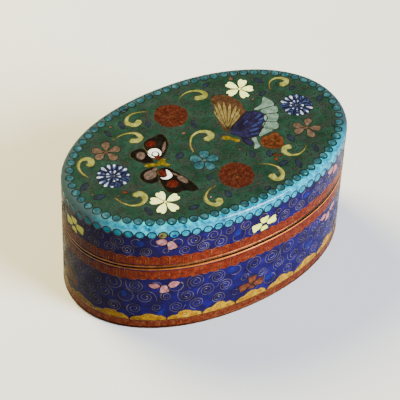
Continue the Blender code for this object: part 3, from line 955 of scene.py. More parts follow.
CLOUDS = 22
FIRST_CLOUD = 2.9         # distance round the box of its middle
CLOUD_FILL = 0.97         # a cloud's width as a share of the pitch
CLOUD_TALL = (0.97, 0.22, 90)     # mean height, how much it varies, and where round the box it starts to grow
CLOUD_WIRE = 0.14
CURL_WIRE = 0.1
CLOUD_SHAPE = ((-1.0, 0.1), (-0.96, 0.6), (-0.72, 1.05), (-0.45, 1.2), (-0.34, 1.6), (-0.05, 2.0),
               (0.25, 1.85), (0.4, 1.4), (0.66, 1.35), (0.93, 0.75), (1.0, 0.1))
CLOUD_FOOT = (0.98, 0.5, 0.0, -0.5, -0.98)
CLOUD_CURLS = ((-0.55, 0.5, 0.42), (0.0, 0.98, 0.6), (0.6, 0.55, 0.45))     # middle and radius


def make_clouds():
    """Ochre clouds of three lobes over the foot, laid taller along the front; returns their outlines."""
    cells = Shape()
    wires = Shape()
    outlines = []
    half = GIRTH / CLOUDS / 2 * CLOUD_FILL
    mean, change, rise_at = CLOUD_TALL
    for index in range(CLOUDS):
        centre = FIRST_CLOUD + GIRTH * index / CLOUDS + jitter(0.15)
        tall = mean + change * math.sin(2 * math.pi * (centre - rise_at) / GIRTH)
        lobes = [(centre + along * half, CLOUD_LOW + up * tall * random.uniform(0.92, 1.08))
                 for along, up in CLOUD_SHAPE]
        foot = [(centre + along * half, CLOUD_LOW) for along in CLOUD_FOOT]
        outline = np.concatenate((smooth(lobes, 0.2), np.array(foot)))
        outlines.append(outline)
        add_cell(cells, outline, on_side, spacing=0.45, dish=0.01)
        add_wire(wires, outline, on_side, CLOUD_WIRE, True)
        for along, up, size in CLOUD_CURLS:
            curl = spiral((centre + along * half, CLOUD_LOW + up * tall), size, 0.9, 200, -1, inner=0.4)
            add_wire(wires, curl, on_side, CURL_WIRE)
    make_piece("base_cloud_cells", cells, OCHRE, "base", "base_ochre_cloud_enamel")
    make_piece("base_cloud_wires", wires, GOLD_WIRE, "base")
    return outlines


# Petal shapes along their length: kites have a sharp outer end, fans a broad one
KITE = ((-0.5, 0.0), (-0.34, 0.36), (-0.05, 0.52), (0.3, 0.34), (0.5, 0.0), (0.3, -0.3), (-0.05, -0.5),
        (-0.34, -0.36))
FAN = mirrored(((-0.5, 0.0), (-0.38, 0.3), (0.0, 0.44), (0.38, 0.5), (0.5, 0.22), (0.45, 0.0)))

# Flowers, repeated in each quarter of the box: body, enamel, slot, first place round, petals as (along,
# height, direction, length, width, shape)
WALL_FLOWERS = {
    "lid_pink": ("lid", PINK, "rose", 99.2, (
        (-0.9, 24.1, 165, 2.3, 1.8, KITE), (1.0, 23.1, -75, 2.3, 1.9, FAN))),
    "lid_cream": ("lid", WALL_CREAM, "white", 119.2, (
        (-1.6, 21.9, 188, 2.3, 2.1, FAN), (0.0, 23.1, 88, 1.7, 2.0, FAN), (1.7, 22.2, 2, 2.3, 2.1, FAN),
        (0.1, 21.0, -90, 1.3, 1.8, FAN))),
    "base_pink": ("base", PINK, "rose", 99.0, (
        (-1.9, 12.2, 170, 2.3, 1.5, KITE), (0.0, 11.2, -88, 2.2, 1.9, FAN), (1.9, 12.3, 10, 2.4, 1.8, KITE))),
    "base_orange": ("base", WALL_ORANGE, "orange", 117.3, (
        (-1.6, 6.3, 188, 2.5, 2.0, FAN), (0.1, 7.5, 86, 2.2, 2.1, FAN), (1.5, 6.2, -8, 2.4, 2.1, FAN),
        (0.0, 5.6, -100, 1.2, 1.5, FAN))),
}
FLOWER_TURNS = 4
FLOWER_WIRE = 0.14

# Drops of paler cobalt among the spirals, repeated in each half: body, distance round, height, direction
DROPS = (
    ("base", 98.4, 4.4, 250), ("base", 121.3, 6.2, 10), ("base", 91.2, 9.6, 100), ("base", 112.6, 12.6, 80),
    ("base", 131.8, 8.2, 30), ("lid", 94.3, 23.6, 120), ("lid", 113.4, 22.6, 60), ("lid", 129.6, 23.4, 200),
)
DROP_LENGTH = 1.7
DROP_WIDTH = 1.2


def make_wall_flowers():
    """Small flowers and drops round the box; returns their outlines, for the spirals to stay clear of."""
    outlines = {"lid": [], "base": []}
    for name, (body, material, slot, start, petals) in WALL_FLOWERS.items():
        cells = Shape()
        wires = Shape()
        for turn in range(FLOWER_TURNS):
            for along, height, degrees, length, width, shape in petals:
                centre = (start + turn * GIRTH / FLOWER_TURNS + along, height)
                outline = petal(shape, centre, degrees + jitter(8), length, width)
                outlines[body].append(outline)
                add_cell(cells, outline, on_side, PETAL_LIFT, dish=0.01)
                add_wire(wires, outline, on_side, FLOWER_WIRE, True)
        make_piece(name + "_petals", cells, material, body)
        make_piece(name + "_wires", wires, DARK_WIRE, body)
    drops = {"lid": Shape(), "base": Shape()}
    for body, distance, height, degrees in DROPS:
        for half_turn in (0, GIRTH / 2):
            outline = petal(KITE, (distance + half_turn, height), degrees, DROP_LENGTH, DROP_WIDTH)
            outlines[body].append(outline)
            add_cell(drops[body], outline, on_side, PETAL_LIFT)
    for body, shape in drops.items():
        make_piece(body + "_cobalt_drops", shape, LIGHT_BLUE, body)
    return outlines


# Rows of spirals: body, height, radius, how many, first place as a share of the pitch, lowest and
# highest wire
SPIRAL_ROWS = (
    ("base", 12.0, 1.95, 39, 0.1, 4.0, 14.1),
    ("base", 8.9, 1.8, 39, 0.6, 4.0, 14.1),
    ("base", 5.8, 1.75, 39, 0.15, 3.2, 14.1),
    ("lid", 23.8, 1.6, 44, 0.2, 20.2, 25.0),
    ("lid", 21.6, 1.45, 44, 0.7, 20.2, 25.0),
)
SPIRAL_WIRE = 0.12
SPIRAL_MARGIN = 0.16      # how far the spirals stay from flowers and clouds
HOOK_WIRE = 0.17          # the inner end of some spirals is a thicker hook, its brighter wire a painted highlight
HOOK_POINTS = 6
HOOK_CHANCE = 0.3
LONG_ENOUGH = 30          # points that a spiral with a hook needs


def make_wall_spirals(flowers, clouds):
    """Rows of wire curls that hold the blue enamel, cut short where a flower or a cloud is in the way."""
    wires = {"base": Shape(), "lid": Shape()}
    hooks = {"base": Shape(), "lid": Shape()}
    for body, height, radius, count, shift, lowest_wire, highest_wire in SPIRAL_ROWS:
        for index in range(count):
            centre = (GIRTH * (index + shift) / count + jitter(0.2),
                      height + jitter(0.25))
            size = radius * random.uniform(0.85, 1.05)
            path = spiral(centre, size, random.uniform(1.8, 2.6), random.uniform(0, 360),
                          random.choice((-1, 1)), random.uniform(0.6, 2.2))
            path = longest_run(path, (path[:, 1] > lowest_wire) & (path[:, 1] < highest_wire))
            path = clear_of(path, flowers[body] + clouds[body], SPIRAL_MARGIN)
            if len(path) < HOOK_POINTS:
                continue
            hooked = len(path) > LONG_ENOUGH and random.random() < HOOK_CHANCE
            add_wire(wires[body], path[:-HOOK_POINTS] if hooked else path, on_side, SPIRAL_WIRE)
            if hooked:
                add_wire(hooks[body], path[-HOOK_POINTS - 1:], on_side, HOOK_WIRE)
    for body in wires:
        make_piece(body + "_spiral_wires", wires[body], WALL_WIRE, body)
        # the hooks' brighter wire is a painted highlight
        make_piece(body + "_spiral_hooks", hooks[body], HIGHLIGHT_WIRE, body)


# ---------------------------------------------------------------- art on the top

# Cream scrolls: points along each, from the thin end to the head
SCROLLS = {
    "scroll_back_right": [(1.8, 13.4), (3.4, 14.3), (5.2, 14.5), (6.8, 13.7), (7.4, 12.5), (6.8, 11.7),
                          (5.1, 12.1)],
    "scroll_back_left": [(-5.0, 13.5), (-6.5, 14.2), (-8.1, 14.5), (-9.6, 13.9), (-10.2, 12.7), (-9.3, 11.5),
                         (-7.8, 12.0)],
    "scroll_left_of_wing": [(-15.0, 9.9), (-13.0, 10.3), (-11.4, 10.0), (-10.2, 9.1), (-10.1, 7.8),
                            (-11.1, 7.4), (-12.2, 8.0)],
    "scroll_left_end": [(-24.3, 3.5), (-24.7, 5.2), (-24.3, 7.0), (-23.2, 8.1), (-21.9, 7.9), (-21.6, 6.9),
                        (-22.4, 6.0)],
    "scroll_left_front": [(-22.7, -3.9), (-22.0, -5.9), (-20.8, -7.3), (-19.1, -7.7), (-17.8, -6.8),
                          (-18.0, -5.3), (-19.2, -5.2)],
    "scroll_centre": [(-3.5, -0.8), (-2.9, 1.2), (-1.6, 2.9), (0.2, 3.5), (1.8, 2.7), (1.9, 1.3), (0.4, 0.9)],
    "scroll_front_left": [(-4.5, -10.6), (-6.5, -11.0), (-8.0, -12.3), (-8.2, -13.8), (-7.3, -14.9),
                          (-6.3, -14.6), (-6.1, -13.8)],
    "scroll_right_back": [(19.4, 6.9), (20.1, 8.5), (21.5, 9.3), (23.0, 8.9), (23.7, 7.8), (23.1, 7.1),
                          (22.0, 7.0)],
    "scroll_right_front": [(16.6, -9.9), (15.2, -10.9), (13.6, -11.3), (12.2, -10.7), (11.7, -9.5),
                           (12.4, -8.6), (13.5, -8.8)],
    "scroll_front_right": [(5.6, -9.8), (7.3, -10.9), (8.3, -12.5), (8.2, -14.1), (7.1, -15.1), (6.1, -14.6),
                           (6.0, -13.4)],
}
SCROLL_TAIL = 0.16        # width at the thin end
SCROLL_HEAD = 1.35


def scroll_outline(spine):
    """A comma: it widens along its spine and ends in a blunt head."""
    spine = smooth(spine, 0.2)
    t = np.linspace(0, 1, len(spine))
    width = SCROLL_TAIL + (SCROLL_HEAD - SCROLL_TAIL) * np.clip(t * 1.12, 0, 1) ** 1.5
    half = sideways(spine, False) * width[:, None] / 2
    last_step = spine[-1] - spine[-2]
    ahead = spine[-1] + last_step / np.hypot(*last_step) * SCROLL_HEAD * 0.22
    return np.concatenate((spine + half, [ahead], (spine - half)[::-1]))


# Petal shapes from the flower's middle outwards, for a length and a width of one
NOTCHED_PETAL = mirrored(((0.1, 0.0), (0.28, 0.26), (0.55, 0.46), (0.84, 0.5), (1.0, 0.26), (0.93, 0.0)))
CLUB_PETAL = mirrored(((0.1, 0.0), (0.32, 0.24), (0.62, 0.48), (0.88, 0.42), (1.0, 0.0)))
ROUND_PETAL = mirrored(((0.14, 0.0), (0.34, 0.34), (0.66, 0.5), (0.93, 0.36), (1.0, 0.0)))

# Five-petal flowers: centre, petal directions in degrees, petal length and width, shape, enamel, slot
FLOWERS = {
    "white_flower_left": ((-15.1, -9.5), (86, 4, -76, -140, 144), 3.0, 1.85, NOTCHED_PETAL, WHITE, "white"),
    "white_flower_right": ((14.1, 10.1), (116, 43, -26, -95, 184), 2.95, 1.8, NOTCHED_PETAL, WHITE, "white"),
    "rose_flower_left": ((-17.9, 7.7), (138, 62, -8, -76, 196), 2.9, 1.8, CLUB_PETAL, ROSE, "rose"),
    "rose_flower_right": ((19.2, -5.9), (130, 46, -33, -97, 182), 2.9, 1.65, CLUB_PETAL, ROSE, "rose"),
    "turquoise_flower": ((-3.0, -3.8), (135, 58, -10, -85, 203), 2.85, 2.0, ROUND_PETAL, DOT_TEAL,
                         "turquoise"),
}
FLOWER_EYE = 0.34

# Asters: centre, radius, whether the petals are blue with white tips
ASTERS = {
    "blue_aster_left": ((-20.0, 1.3), 3.4, True),
    "blue_aster_right": ((21.3, 0.5), 3.3, True),
    "red_aster_back": ((-1.8, 10.2), 3.5, False),
    "red_aster_front": ((0.2, -10.2), 3.6, False),
}

# Rings of an aster: how many petals, inner and outer end as a share of the radius, petal width in mm
BLUE_RINGS = ((14, 0.44, 0.99, 1.15), (9, 0.13, 0.47, 0.85))
RED_RINGS = ((20, 0.66, 1.0, 0.95), (15, 0.36, 0.67, 0.8), (8, 0.08, 0.37, 0.6))
ASTER_PETAL = mirrored(((-0.5, 0), (-0.15, 0.27), (0.25, 0.44), (0.5, 0)))
ASTER_EYE = 0.3
TIP_CHANCE = 0.85         # how many of the blue petals have a white tip

# Small leaves in the green: centre, direction in degrees, length, width
LEAVES = (
    ((-11.5, 12.7), 80, 2.3, 1.2), ((-15.0, 11.9), 100, 2.1, 1.0), ((-26.1, 1.6), 30, 2.4, 1.3),
    ((-25.0, -2.2), -10, 2.6, 1.3), ((-19.1, -10.0), 90, 2.4, 1.2), ((-6.3, -0.3), 30, 2.2, 1.4),
    ((-3.8, -13.6), 80, 2.0, 1.3), ((-11.2, -13.4), 0, 2.4, 1.1), ((-4.6, -8.1), 60, 1.7, 1.0),
    ((0.7, 5.9), 70, 2.4, 1.1), ((9.0, 14.5), 20, 2.0, 1.0), ((18.8, 10.4), -60, 2.5, 1.2),
    ((17.3, 6.7), 10, 1.9, 1.0), ((23.4, 5.2), 20, 1.7, 1.0), ((26.4, 0.0), 30, 2.2, 1.2),
    ((14.9, -6.8), 85, 2.3, 1.3), ((8.9, -8.4), 60, 1.9, 1.2), ((6.0, -6.9), 80, 2.0, 1.1),
    ((9.8, -12.0), 10, 2.1, 1.3), ((12.3, -13.4), 75, 2.7, 1.2), ((17.5, -11.4), 80, 2.3, 1.1),
    ((-6.9, 10.4), 60, 1.9, 1.1), ((-9.0, 16.1), 20, 1.9, 0.9), ((3.5, -16.0), 10, 1.5, 0.8),
)
LEAF_SHAPE = mirrored(((-0.5, 0), (-0.2, 0.45), (0.2, 0.4), (0.5, 0)))

# Small buds by enamel: centre, diameter
BUDS = {
    ROSE: (((14.3, 13.6), 1.0), ((14.7, 6.3), 0.7), ((-2.3, 4.7), 0.9), ((-25.8, -0.9), 0.6),
           ((-13.6, 13.4), 0.7), ((4.6, -4.6), 0.6)),
    ORANGE: (((-20.3, -3.6), 0.9), ((9.7, -9.3), 0.9), ((9.2, -10.3), 0.9), ((10.4, -9.8), 0.8)),
    PINK: (((-7.1, -12.7), 0.5),),
    LEAF: (((24.2, -8.0), 0.7),),
}


class TopArt:
    """Makes the pieces of the top, and gathers their wires by finish and their outlines."""

    def __init__(self):
        self.wires = {}
        self.outlines = []

    def wire(self, path, material, width, closed=True):
        if material not in self.wires:
            self.wires[material] = Shape()
        add_wire(self.wires[material], path, on_top, width, closed)

    def lines(self, paths, material, width, step=0.2):
        """Open wires through rows of points."""
        for path in paths:
            self.wire(smooth(path, step), material, width, closed=False)

    def cell(self, shape, outline, wire, width, lift=CELL_LIFT, keep_clear=True):
        """One cell and the wire round it; tendrils stay off it if it is to be kept clear."""
        add_cell(shape, outline, on_top, lift=lift, spacing=0.35, dish=0.008)
        if wire:
            self.wire(outline, wire, width)
        if keep_clear:
            self.outlines.append(outline)

    def piece(self, name, outlines, material, slot, node=None, wire=DARK_WIRE, width=0.12, lift=CELL_LIFT,
              keep_clear=True):
        """A piece of one enamel with a cell for each outline."""
        shape = Shape()
        for outline in outlines:
            self.cell(shape, outline, wire, width, lift, keep_clear)
        make_piece(name, shape, material, "lid", node)


def make_scrolls(art):
    for name, spine in SCROLLS.items():
        art.piece(name + "_cell", [scroll_outline(spine)], CREAM, "cream", name, GOLD_WIRE, 0.15)


def make_flowers(art):
    for name, (centre, directions, length, width, shape, material, slot) in FLOWERS.items():
        cells = Shape()
        for degrees in directions:
            reach = length * random.uniform(0.94, 1.05)
            art.cell(cells, petal(shape, centre, degrees, reach, width, 0.15), DARK_WIRE, 0.13)
        art.cell(cells, circle(centre, FLOWER_EYE), GOLD_WIRE, 0.12)
        make_piece(name + "_petals", cells, material, "lid", name)


def aster_petal(centre, degrees, start, end, width):
    """One petal of an aster between two distances from its middle."""
    return petal(ASTER_PETAL, centre, degrees, end - start, width, offset=(start + end) / 2)


def make_asters(art):
    """Many-petal flowers: a dark disc, rings of petals on it and a small eye."""
    for name, (centre, radius, tipped) in ASTERS.items():
        ground = Shape()
        add_cell(ground, circle(centre, radius * 0.93), on_top)
        art.outlines.append(circle(centre, radius, 0.4))
        make_piece(name + "_ground", ground, NAVY if tipped else ASTER_RED, "lid", name)
        petals = Shape()
        tips = Shape()
        for count, first, last, width in BLUE_RINGS if tipped else RED_RINGS:
            start = radius * first
            for index in range(count):
                degrees = 360 * (index + jitter(0.14)) / count + 9 * first
                reach = radius * last * random.uniform(0.92, 1.02)
                outline = aster_petal(centre, degrees, start, reach, width)
                art.cell(petals, outline, DARK_WIRE if tipped else RUST_WIRE, 0.1, PETAL_LIFT, False)
                if tipped and random.random() < TIP_CHANCE:
                    tip_start = reach - (reach - start) * random.uniform(0.3, 0.85)
                    tip_width = width * random.uniform(0.35, 0.6)
                    tip = aster_petal(centre, degrees, tip_start, reach - 0.06, tip_width)
                    art.cell(tips, tip, None, 0.0, TIP_LIFT, False)
        art.cell(petals, circle(centre, ASTER_EYE), GOLD_WIRE, 0.12, PETAL_LIFT, False)
        make_piece(name + "_petals", petals, ASTER_BLUE if tipped else ASTER_RED, "lid")
        if tipped:
            make_piece(name + "_tips", tips, ASTER_TIP, "lid")


LOTUS_OUTLINE = ((9.1, -6.2), (9.4, -4.6), (10.5, -3.9), (11.6, -4.1), (13.1, -3.9), (13.5, -5.4),
                 (13.2, -6.9), (12.4, -7.9), (11.2, -8.0), (9.9, -7.4))
LOTUS_FOLDS = (
    ((9.7, -4.8), (10.3, -6.4), (11.8, -7.6)), ((10.7, -4.2), (11.3, -5.6), (12.6, -6.8)),
    ((12.8, -4.4), (12.2, -5.6), (10.8, -6.8)), ((9.5, -5.9), (10.7, -6.0), (12.6, -5.2)),
    ((11.6, -4.4), (11.6, -6.0), (11.4, -7.6)), ((9.6, -6.8), (10.8, -6.9), (12.9, -6.0)),
)


def make_lotus(art):
    outline = smooth(LOTUS_OUTLINE, 0.15, True)
    art.piece("orange_lotus_cell", [outline], ORANGE, "orange", "orange_lotus", RUST_WIRE, 0.15)
    art.lines(LOTUS_FOLDS, RUST_WIRE, 0.13, 0.15)


def make_leaves(art):
    leaves = [petal(LEAF_SHAPE, *leaf, 0.25) for leaf in LEAVES]
    art.piece("leaf_cells", leaves, LEAF, "blue")
    for material, buds in BUDS.items():
        outlines = [circle(centre, size / 2, 0.2) for centre, size in buds]
        art.piece("buds_" + material.name, outlines, material, "rose")


# The dark butterfly: outlines of its wings, of its body and of the white crescent
DARK_WINGS = {
    "dark_butterfly_back_forewing": [(-10.2, 1.0), (-8.6, 1.4), (-6.6, 3.4), (-5.9, 5.2), (-6.3, 6.7),
                                     (-8.0, 6.7), (-9.8, 6.5), (-10.9, 5.3), (-11.0, 3.0)],
    "dark_butterfly_back_hindwing": [(-11.4, 0.8), (-12.8, 0.9), (-13.9, 2.2), (-14.5, 4.0), (-13.9, 5.1),
                                     (-12.4, 5.3), (-11.3, 4.8), (-11.2, 2.6)],
    "dark_butterfly_front_hindwing": [(-12.3, -0.6), (-14.2, -0.4), (-15.7, -1.2), (-15.9, -2.8),
                                      (-14.8, -4.1), (-13.3, -4.0), (-12.5, -2.6)],
    "dark_butterfly_front_forewing": [(-11.8, -1.6), (-12.8, -3.4), (-13.4, -5.6), (-13.3, -7.6),
                                      (-12.0, -8.6), (-10.4, -8.8), (-9.0, -9.8), (-7.9, -9.6),
                                      (-8.0, -7.6), (-8.8, -4.8), (-10.0, -2.0)],
}

DARK_BODY = ((-13.5, 0.5), (-13.0, 1.0), (-12.1, 0.7), (-11.2, 0.1), (-10.5, 0.4), (-9.5, 0.7), (-9.1, 0.2),
             (-9.6, -0.4), (-9.2, -1.5), (-9.8, -1.8), (-10.6, -0.9), (-11.9, -0.5), (-13.0, -0.1))
CRESCENT = ((-12.6, -3.4), (-12.3, -4.3), (-11.3, -4.7), (-10.3, -4.2), (-10.2, -3.1), (-10.5, -2.2),
            (-10.9, -2.9), (-11.3, -3.8), (-12.1, -3.9))

# Spots on the dark wings: centre, length, width, direction
PINK_SPOTS = (((-12.7, 3.4), 2.2, 1.7, 60), ((-13.9, -2.0), 2.8, 2.2, 20), ((-12.4, -1.2), 1.3, 0.9, 20),
              ((-9.2, -6.1), 2.6, 1.3, 105), ((-7.7, 3.2), 3.2, 0.7, 50), ((-9.7, -4.3), 1.6, 0.5, 115))
RED_SPOTS = (((-9.4, 5.2), 2.0, 1.7, 0), ((-11.5, -6.2), 2.2, 1.9, 0), ((-11.7, -2.8), 1.2, 1.9, 0),
             ((-10.2, 1.3), 1.2, 1.0, 20))
EYE_WHITE = ((-10.1, 2.7), 1.35)
EYE_RING = ((-10.1, 2.3), 0.8)
EYE_GLINT = ((-10.1, 2.4), 0.52)


def make_dark_butterfly(art):
    for name, outline in DARK_WINGS.items():
        art.piece(name + "_cell", [smooth(outline, 0.2, True)], BLACK, "black", name, BRONZE_WIRE)
    body = smooth(DARK_BODY, 0.15, True)
    art.piece("dark_butterfly_body_cell", [body], YELLOW, "yellow", "dark_butterfly_body", GOLD_WIRE, 0.13,
              BODY_LIFT)
    whites = [circle(*EYE_WHITE), smooth(CRESCENT, 0.15, True)]
    pinks = [ellipse(*spot) for spot in PINK_SPOTS]
    reds = [ellipse(*spot) for spot in RED_SPOTS]
    layers = (
        ("white_spots", whites, SPOT_WHITE, "white", DARK_WIRE, 0.12, 1.0),
        ("eye_ring", [circle(*EYE_RING)], BLACK, "black", None, 0.0, 1.6),
        ("pink_spots", pinks, SPOT_PINK, "rose", DARK_WIRE, 0.11, 1.0),
        ("eye_glint", [circle(*EYE_GLINT)], SPOT_WHITE, "white", None, 0.0, 2.1),
        ("red_spots", reds, SPOT_RED, "red", BRONZE_WIRE, 0.12, 2.4),
    )
    for name, outlines, material, slot, wire, width, layer in layers:
        art.piece("dark_butterfly_" + name, outlines, material, slot, None, wire, width, SPOT_LIFT * layer)


# The blue butterfly: outlines of its wings, and the lines and cells that lie on them
BROWN_WING = ((5.2, 0.9), (5.1, 3.0), (5.9, 5.6), (6.9, 8.0), (7.5, 10.4), (8.6, 11.0), (10.2, 10.4),
              (11.4, 8.9), (12.0, 6.8), (11.8, 4.9), (11.2, 3.6), (8.8, 2.5))
STRIPE_ROOT = (5.5, 1.2)
STRIPES = ((6.2, 7.2), (7.2, 8.8), (8.3, 9.1), (9.3, 8.5), (10.2, 7.5), (10.9, 6.3), (11.0, 5.1), (10.2, 3.8))
STRIPE_WIDTH = 0.8
BROWN_VEINS = (((7.8, 9.0), (8.2, 10.6)), ((8.8, 8.9), (9.3, 10.7)), ((9.8, 8.2), (10.6, 9.9)),
               ((10.6, 7.2), (11.4, 8.6)), ((11.1, 5.9), (11.9, 7.0)))
BLUE_WING = ((5.6, 0.3), (7.4, 1.7), (9.6, 2.8), (11.4, 3.7), (13.2, 3.0), (14.2, 1.6), (14.2, 0.2),
             (12.8, -0.9), (11.6, -1.9), (10.0, -2.9), (8.8, -3.1), (7.2, -2.5), (6.2, -1.1))
BLUE_TAIL = ((6.5, -2.2), (7.5, -2.9), (8.0, -3.9), (7.2, -4.9), (6.4, -3.8))
BLUE_VEINS = (((7.6, 1.0), (9.8, 2.0), (12.2, 3.4)), ((8.0, 0.4), (10.4, 1.2), (13.4, 2.4)),
              ((8.2, -0.3), (10.8, 0.2), (14.0, 1.2)), ((8.0, -0.9), (10.4, -0.8), (13.2, -0.4)),
              ((7.8, -1.5), (9.6, -1.9), (11.8, -1.7)))
# Paler patches on the blue wing: centre, length, width, direction
BLUE_PATCHES = (((11.4, -0.3), 2.8, 0.6, 8), ((10.2, -1.4), 2.2, 0.55, -5), ((12.9, 1.5), 2.0, 0.5, 22),
                ((9.8, 1.2), 1.7, 0.4, 22), ((12.9, 0.5), 1.5, 0.45, 12), ((9.4, -2.4), 1.6, 0.5, -15))
PALE_CELLS = (
    ((13.2, 3.5), (15.4, 4.2), (16.8, 5.7), (17.2, 5.2), (17.6, 3.6), (17.1, 2.7), (14.6, 3.0)),
    ((14.4, 2.7), (17.3, 2.4), (17.4, 1.5), (16.6, 0.7), (14.4, 1.6)),
    ((14.3, 1.1), (16.5, 0.3), (15.6, -1.2), (14.6, -1.3), (13.4, -0.3)),
    ((12.9, -0.6), (14.9, -1.6), (14.7, -2.9), (13.6, -3.2), (12.1, -1.8)),
    ((12.0, -2.0), (13.2, -3.1), (11.8, -3.4), (10.0, -3.5), (10.5, -2.7)),
    ((8.3, -3.2), (9.1, -3.4), (8.7, -4.6), (8.5, -5.8), (7.2, -5.9), (8.0, -4.7)),
)
BLUE_BUTTERFLY_BODY = (((4.1, -0.6), 1.7, 1.3, -30), ((5.3, -1.9), 2.2, 1.0, -60))


def make_blue_butterfly(art):
    brown = smooth(BROWN_WING, 0.2, True)
    art.piece("brown_wing_cell", [brown], BROWN, "brown", "blue_butterfly_brown_wing", BRONZE_WIRE, 0.14)
    stripes = []
    for tip in STRIPES:
        along, across = np.subtract(tip, STRIPE_ROOT)
        direction = math.degrees(math.atan2(across, along))
        stripes.append(aster_petal(STRIPE_ROOT, direction, 0.3, math.hypot(along, across), STRIPE_WIDTH))
    art.piece("brown_wing_stripes", stripes, STRIPE, "ochre", None, BRONZE_WIRE, 0.09, BODY_LIFT, False)
    art.lines(BROWN_VEINS, RUST_WIRE, 0.1)
    blue = Shape()
    art.cell(blue, smooth(BLUE_WING, 0.2, True), DARK_WIRE, 0.14)
    art.cell(blue, smooth(BLUE_TAIL, 0.2, True), DARK_WIRE, 0.12)
    make_piece("blue_wing_cell", blue, VIOLET, "lid", "blue_butterfly_blue_wing")
    patches = [ellipse(*patch) for patch in BLUE_PATCHES]
    art.piece("blue_wing_patches", patches, WING_BLUE, "blue", None, None, lift=CELL_LIFT * 1.8,
              keep_clear=False)
    art.lines(BLUE_VEINS, DARK_WIRE, 0.1)
    pale = [grown(smooth(outline, 0.2, True), 0.1) for outline in PALE_CELLS]
    art.piece("pale_wing_cells", pale, PALE, "pale_green", "blue_butterfly_pale_wing", DARK_WIRE, 0.1,
              CELL_LIFT * 1.4)
    body = [ellipse(*lobe) for lobe in BLUE_BUTTERFLY_BODY]
    art.piece("blue_butterfly_body_cell", body, YELLOW, "yellow", "blue_butterfly_body", GOLD_WIRE, 0.14,
              BODY_LIFT)


TENDRIL_STEP = 1.8
TENDRIL_EDGE = 2.9        # how far the tendrils stay from the box's outside
TENDRIL_MARGIN = 0.2
TENDRIL_WIRE = 0.1
TENDRIL_COLUMNS = 16      # to each side of the middle
TENDRIL_ROWS = 11


def make_tendrils(art):
    """Little curls of wire that hold the green enamel wherever there is room."""
    wires = Shape()
    for column in range(-TENDRIL_COLUMNS, TENDRIL_COLUMNS + 1):
        for row in range(-TENDRIL_ROWS, TENDRIL_ROWS + 1):
            centre = ((column + (row % 2) / 2) * TENDRIL_STEP + jitter(0.35),
                      row * TENDRIL_STEP + jitter(0.35))
            path = spiral(centre, random.uniform(0.55, 0.9), random.uniform(0.7, 1.5), random.uniform(0, 360),
                          random.choice((-1, 1)), tail=random.uniform(0.3, 1.4), inner=0.3)
            share = np.abs(path) / (HALF_LENGTH - TENDRIL_EDGE, HALF_WIDTH - TENDRIL_EDGE)
            path = longest_run(path, (share ** OVAL_POWER).sum(1) < 1)
            path = clear_of(path, art.outlines, TENDRIL_MARGIN) if len(path) else path
            if len(path) > 5:
                add_wire(wires, path, on_top, TENDRIL_WIRE)
    make_piece("lid_tendril_wires", wires, BRONZE_WIRE, "lid")


def make_top():
    art = TopArt()
    for make in (make_scrolls, make_flowers, make_asters, make_lotus, make_dark_butterfly,
                 make_blue_butterfly, make_leaves, make_tendrils):
        make(art)
    for material, shape in art.wires.items():
        make_piece("lid_motif_" + material.name, shape, material, "lid")


# ---------------------------------------------------------------- studio

CAMERA_AZIMUTH = -33.95
CAMERA_ELEVATION = 44.83
CAMERA_ROLL = 2.55
CAMERA_DISTANCE = 375.3
CAMERA_LENS = 171.0
AIM_SHIFT = (-0.85, -0.96)    # from the middle of the box, right and up in the picture, in mm

# Lights: direction from the box, distance and width in metres, power in watts, colour
LIGHTS = {
    "window": ((0.394, -0.74, 0.545), 1.3, 0.6, 46.0, (0.8, 0.88, 1.0)),
    "back_wall": ((-0.3, 0.85, 1.0), 0.5, 0.26, 6.0, (1.0, 0.86, 0.44)),
}
ROOM_COLOUR = (0.95, 0.97, 1.0, 1)
ROOM_LIGHT = 0.06
HORIZON_LIGHT = 0.7
HORIZON_EDGE = (0.12, 0.24)   # heights between which the pale horizon fades into the dim room
FLOOR_HALF = 1.0              # metres
FLOOR_DROP = 0.00005


def make_camera():
    azimuth = math.radians(CAMERA_AZIMUTH)
    elevation = math.radians(CAMERA_ELEVATION)
    back = Vector((math.sin(azimuth) * math.cos(elevation), -math.cos(azimuth) * math.cos(elevation),
                   math.sin(elevation)))
    level_right = Vector((math.cos(azimuth), math.sin(azimuth), 0))
    level_up = back.cross(level_right)
    roll = math.radians(CAMERA_ROLL)
    right = level_right * math.cos(roll) + level_up * math.sin(roll)
    up = level_up * math.cos(roll) - level_right * math.sin(roll)
    aim = Vector((0, 0, HEIGHT / 2)) + right * AIM_SHIFT[0] + up * AIM_SHIFT[1]
    data = bpy.data.cameras.new("camera")
    data.lens = CAMERA_LENS
    data.sensor_width = 36.0
    data.clip_start = 0.01
    data.clip_end = 10.0
    camera = bpy.data.objects.new("camera", data)
    bpy.context.scene.collection.objects.link(camera)
    place = Matrix((right, up, back)).transposed().to_4x4()
    place.translation = (aim + back * CAMERA_DISTANCE) * MM
    camera.matrix_world = place
    bpy.context.scene.camera = camera


def add_light(name, direction, distance, size, power, colour):
    data = bpy.data.lights.new(name, "AREA")
    data.shape = "DISK"
    data.size = size
    data.energy = power
    data.color = colour
    light = bpy.data.objects.new(name, data)
    bpy.context.scene.collection.objects.link(light)
    toward = Vector(direction).normalized()
    light.location = toward * distance
    light.rotation_mode = "QUATERNION"
    light.rotation_quaternion = toward.to_track_quat("Z", "Y")


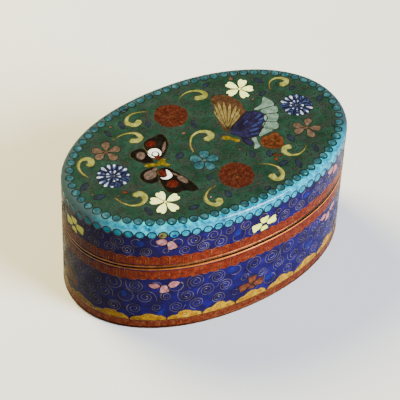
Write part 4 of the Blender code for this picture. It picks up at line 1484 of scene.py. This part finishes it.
def make_room():
    """A dim room, with a paler band along the horizon for the views from eye level."""
    world = bpy.data.worlds.new("room")
    world.use_nodes = True
    tree = world.node_tree
    split = tree.nodes.new("ShaderNodeSeparateXYZ")
    tree.links.new(tree.nodes.new("ShaderNodeTexCoord").outputs["Generated"], split.inputs[0])
    height = tree.nodes.new("ShaderNodeMath")
    height.operation = "ABSOLUTE"
    tree.links.new(split.outputs["Z"], height.inputs[0])
    band = tree.nodes.new("ShaderNodeMapRange")
    band.interpolation_type = "SMOOTHSTEP"
    ends = (*HORIZON_EDGE, HORIZON_LIGHT, ROOM_LIGHT)
    for name, value in zip(("From Min", "From Max", "To Min", "To Max"), ends):
        band.inputs[name].default_value = value
    tree.links.new(height.outputs["Value"], band.inputs["Value"])
    background = tree.nodes["Background"]
    background.inputs["Color"].default_value = ROOM_COLOUR
    tree.links.new(band.outputs["Result"], background.inputs["Strength"])
    bpy.context.scene.world = world


def make_floor():
    """A wide sheet of pale paper, just under the box."""
    mesh = bpy.data.meshes.new("floor")
    corners = [(x * FLOOR_HALF, y * FLOOR_HALF, 0) for x, y in ((-1, -1), (1, -1), (1, 1), (-1, 1))]
    mesh.from_pydata(corners, [], [(0, 1, 2, 3)])
    floor = bpy.data.objects.new("floor", mesh)
    floor.location = (0, 0, -FLOOR_DROP)
    bpy.context.scene.collection.objects.link(floor)
    nodes = Nodes("pale_paper")
    tone = nodes.ramp(nodes.noise(90, 3.0), ((0.3, (0.9, 0.89, 0.88)), (0.7, (0.94, 0.93, 0.92))))
    nodes.link(tone, nodes.shader.inputs["Base Color"])
    nodes.shader.inputs["Roughness"].default_value = 0.85
    mesh.materials.append(nodes.material)


def make_studio():
    for name, light in LIGHTS.items():
        add_light(name, *light)
    make_room()
    make_floor()


def finish_hidden_metal():
    """The copper under the enamel keeps its CAD shape and gets a copper finish."""
    for name in ("base_wall", "base_floor", "lid_wall", "lid_top_plate"):
        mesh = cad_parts[name].data
        mesh.materials.clear()
        mesh.materials.append(COPPER)


make_camera()
make_studio()
finish_hidden_metal()
make_rims()
make_linings()
make_grounds()
make_dots()
make_scallops()
make_chain()
cloud_outlines = make_clouds()
flower_outlines = make_wall_flowers()
make_wall_spirals(flower_outlines, {"base": cloud_outlines, "lid": []})
make_top()
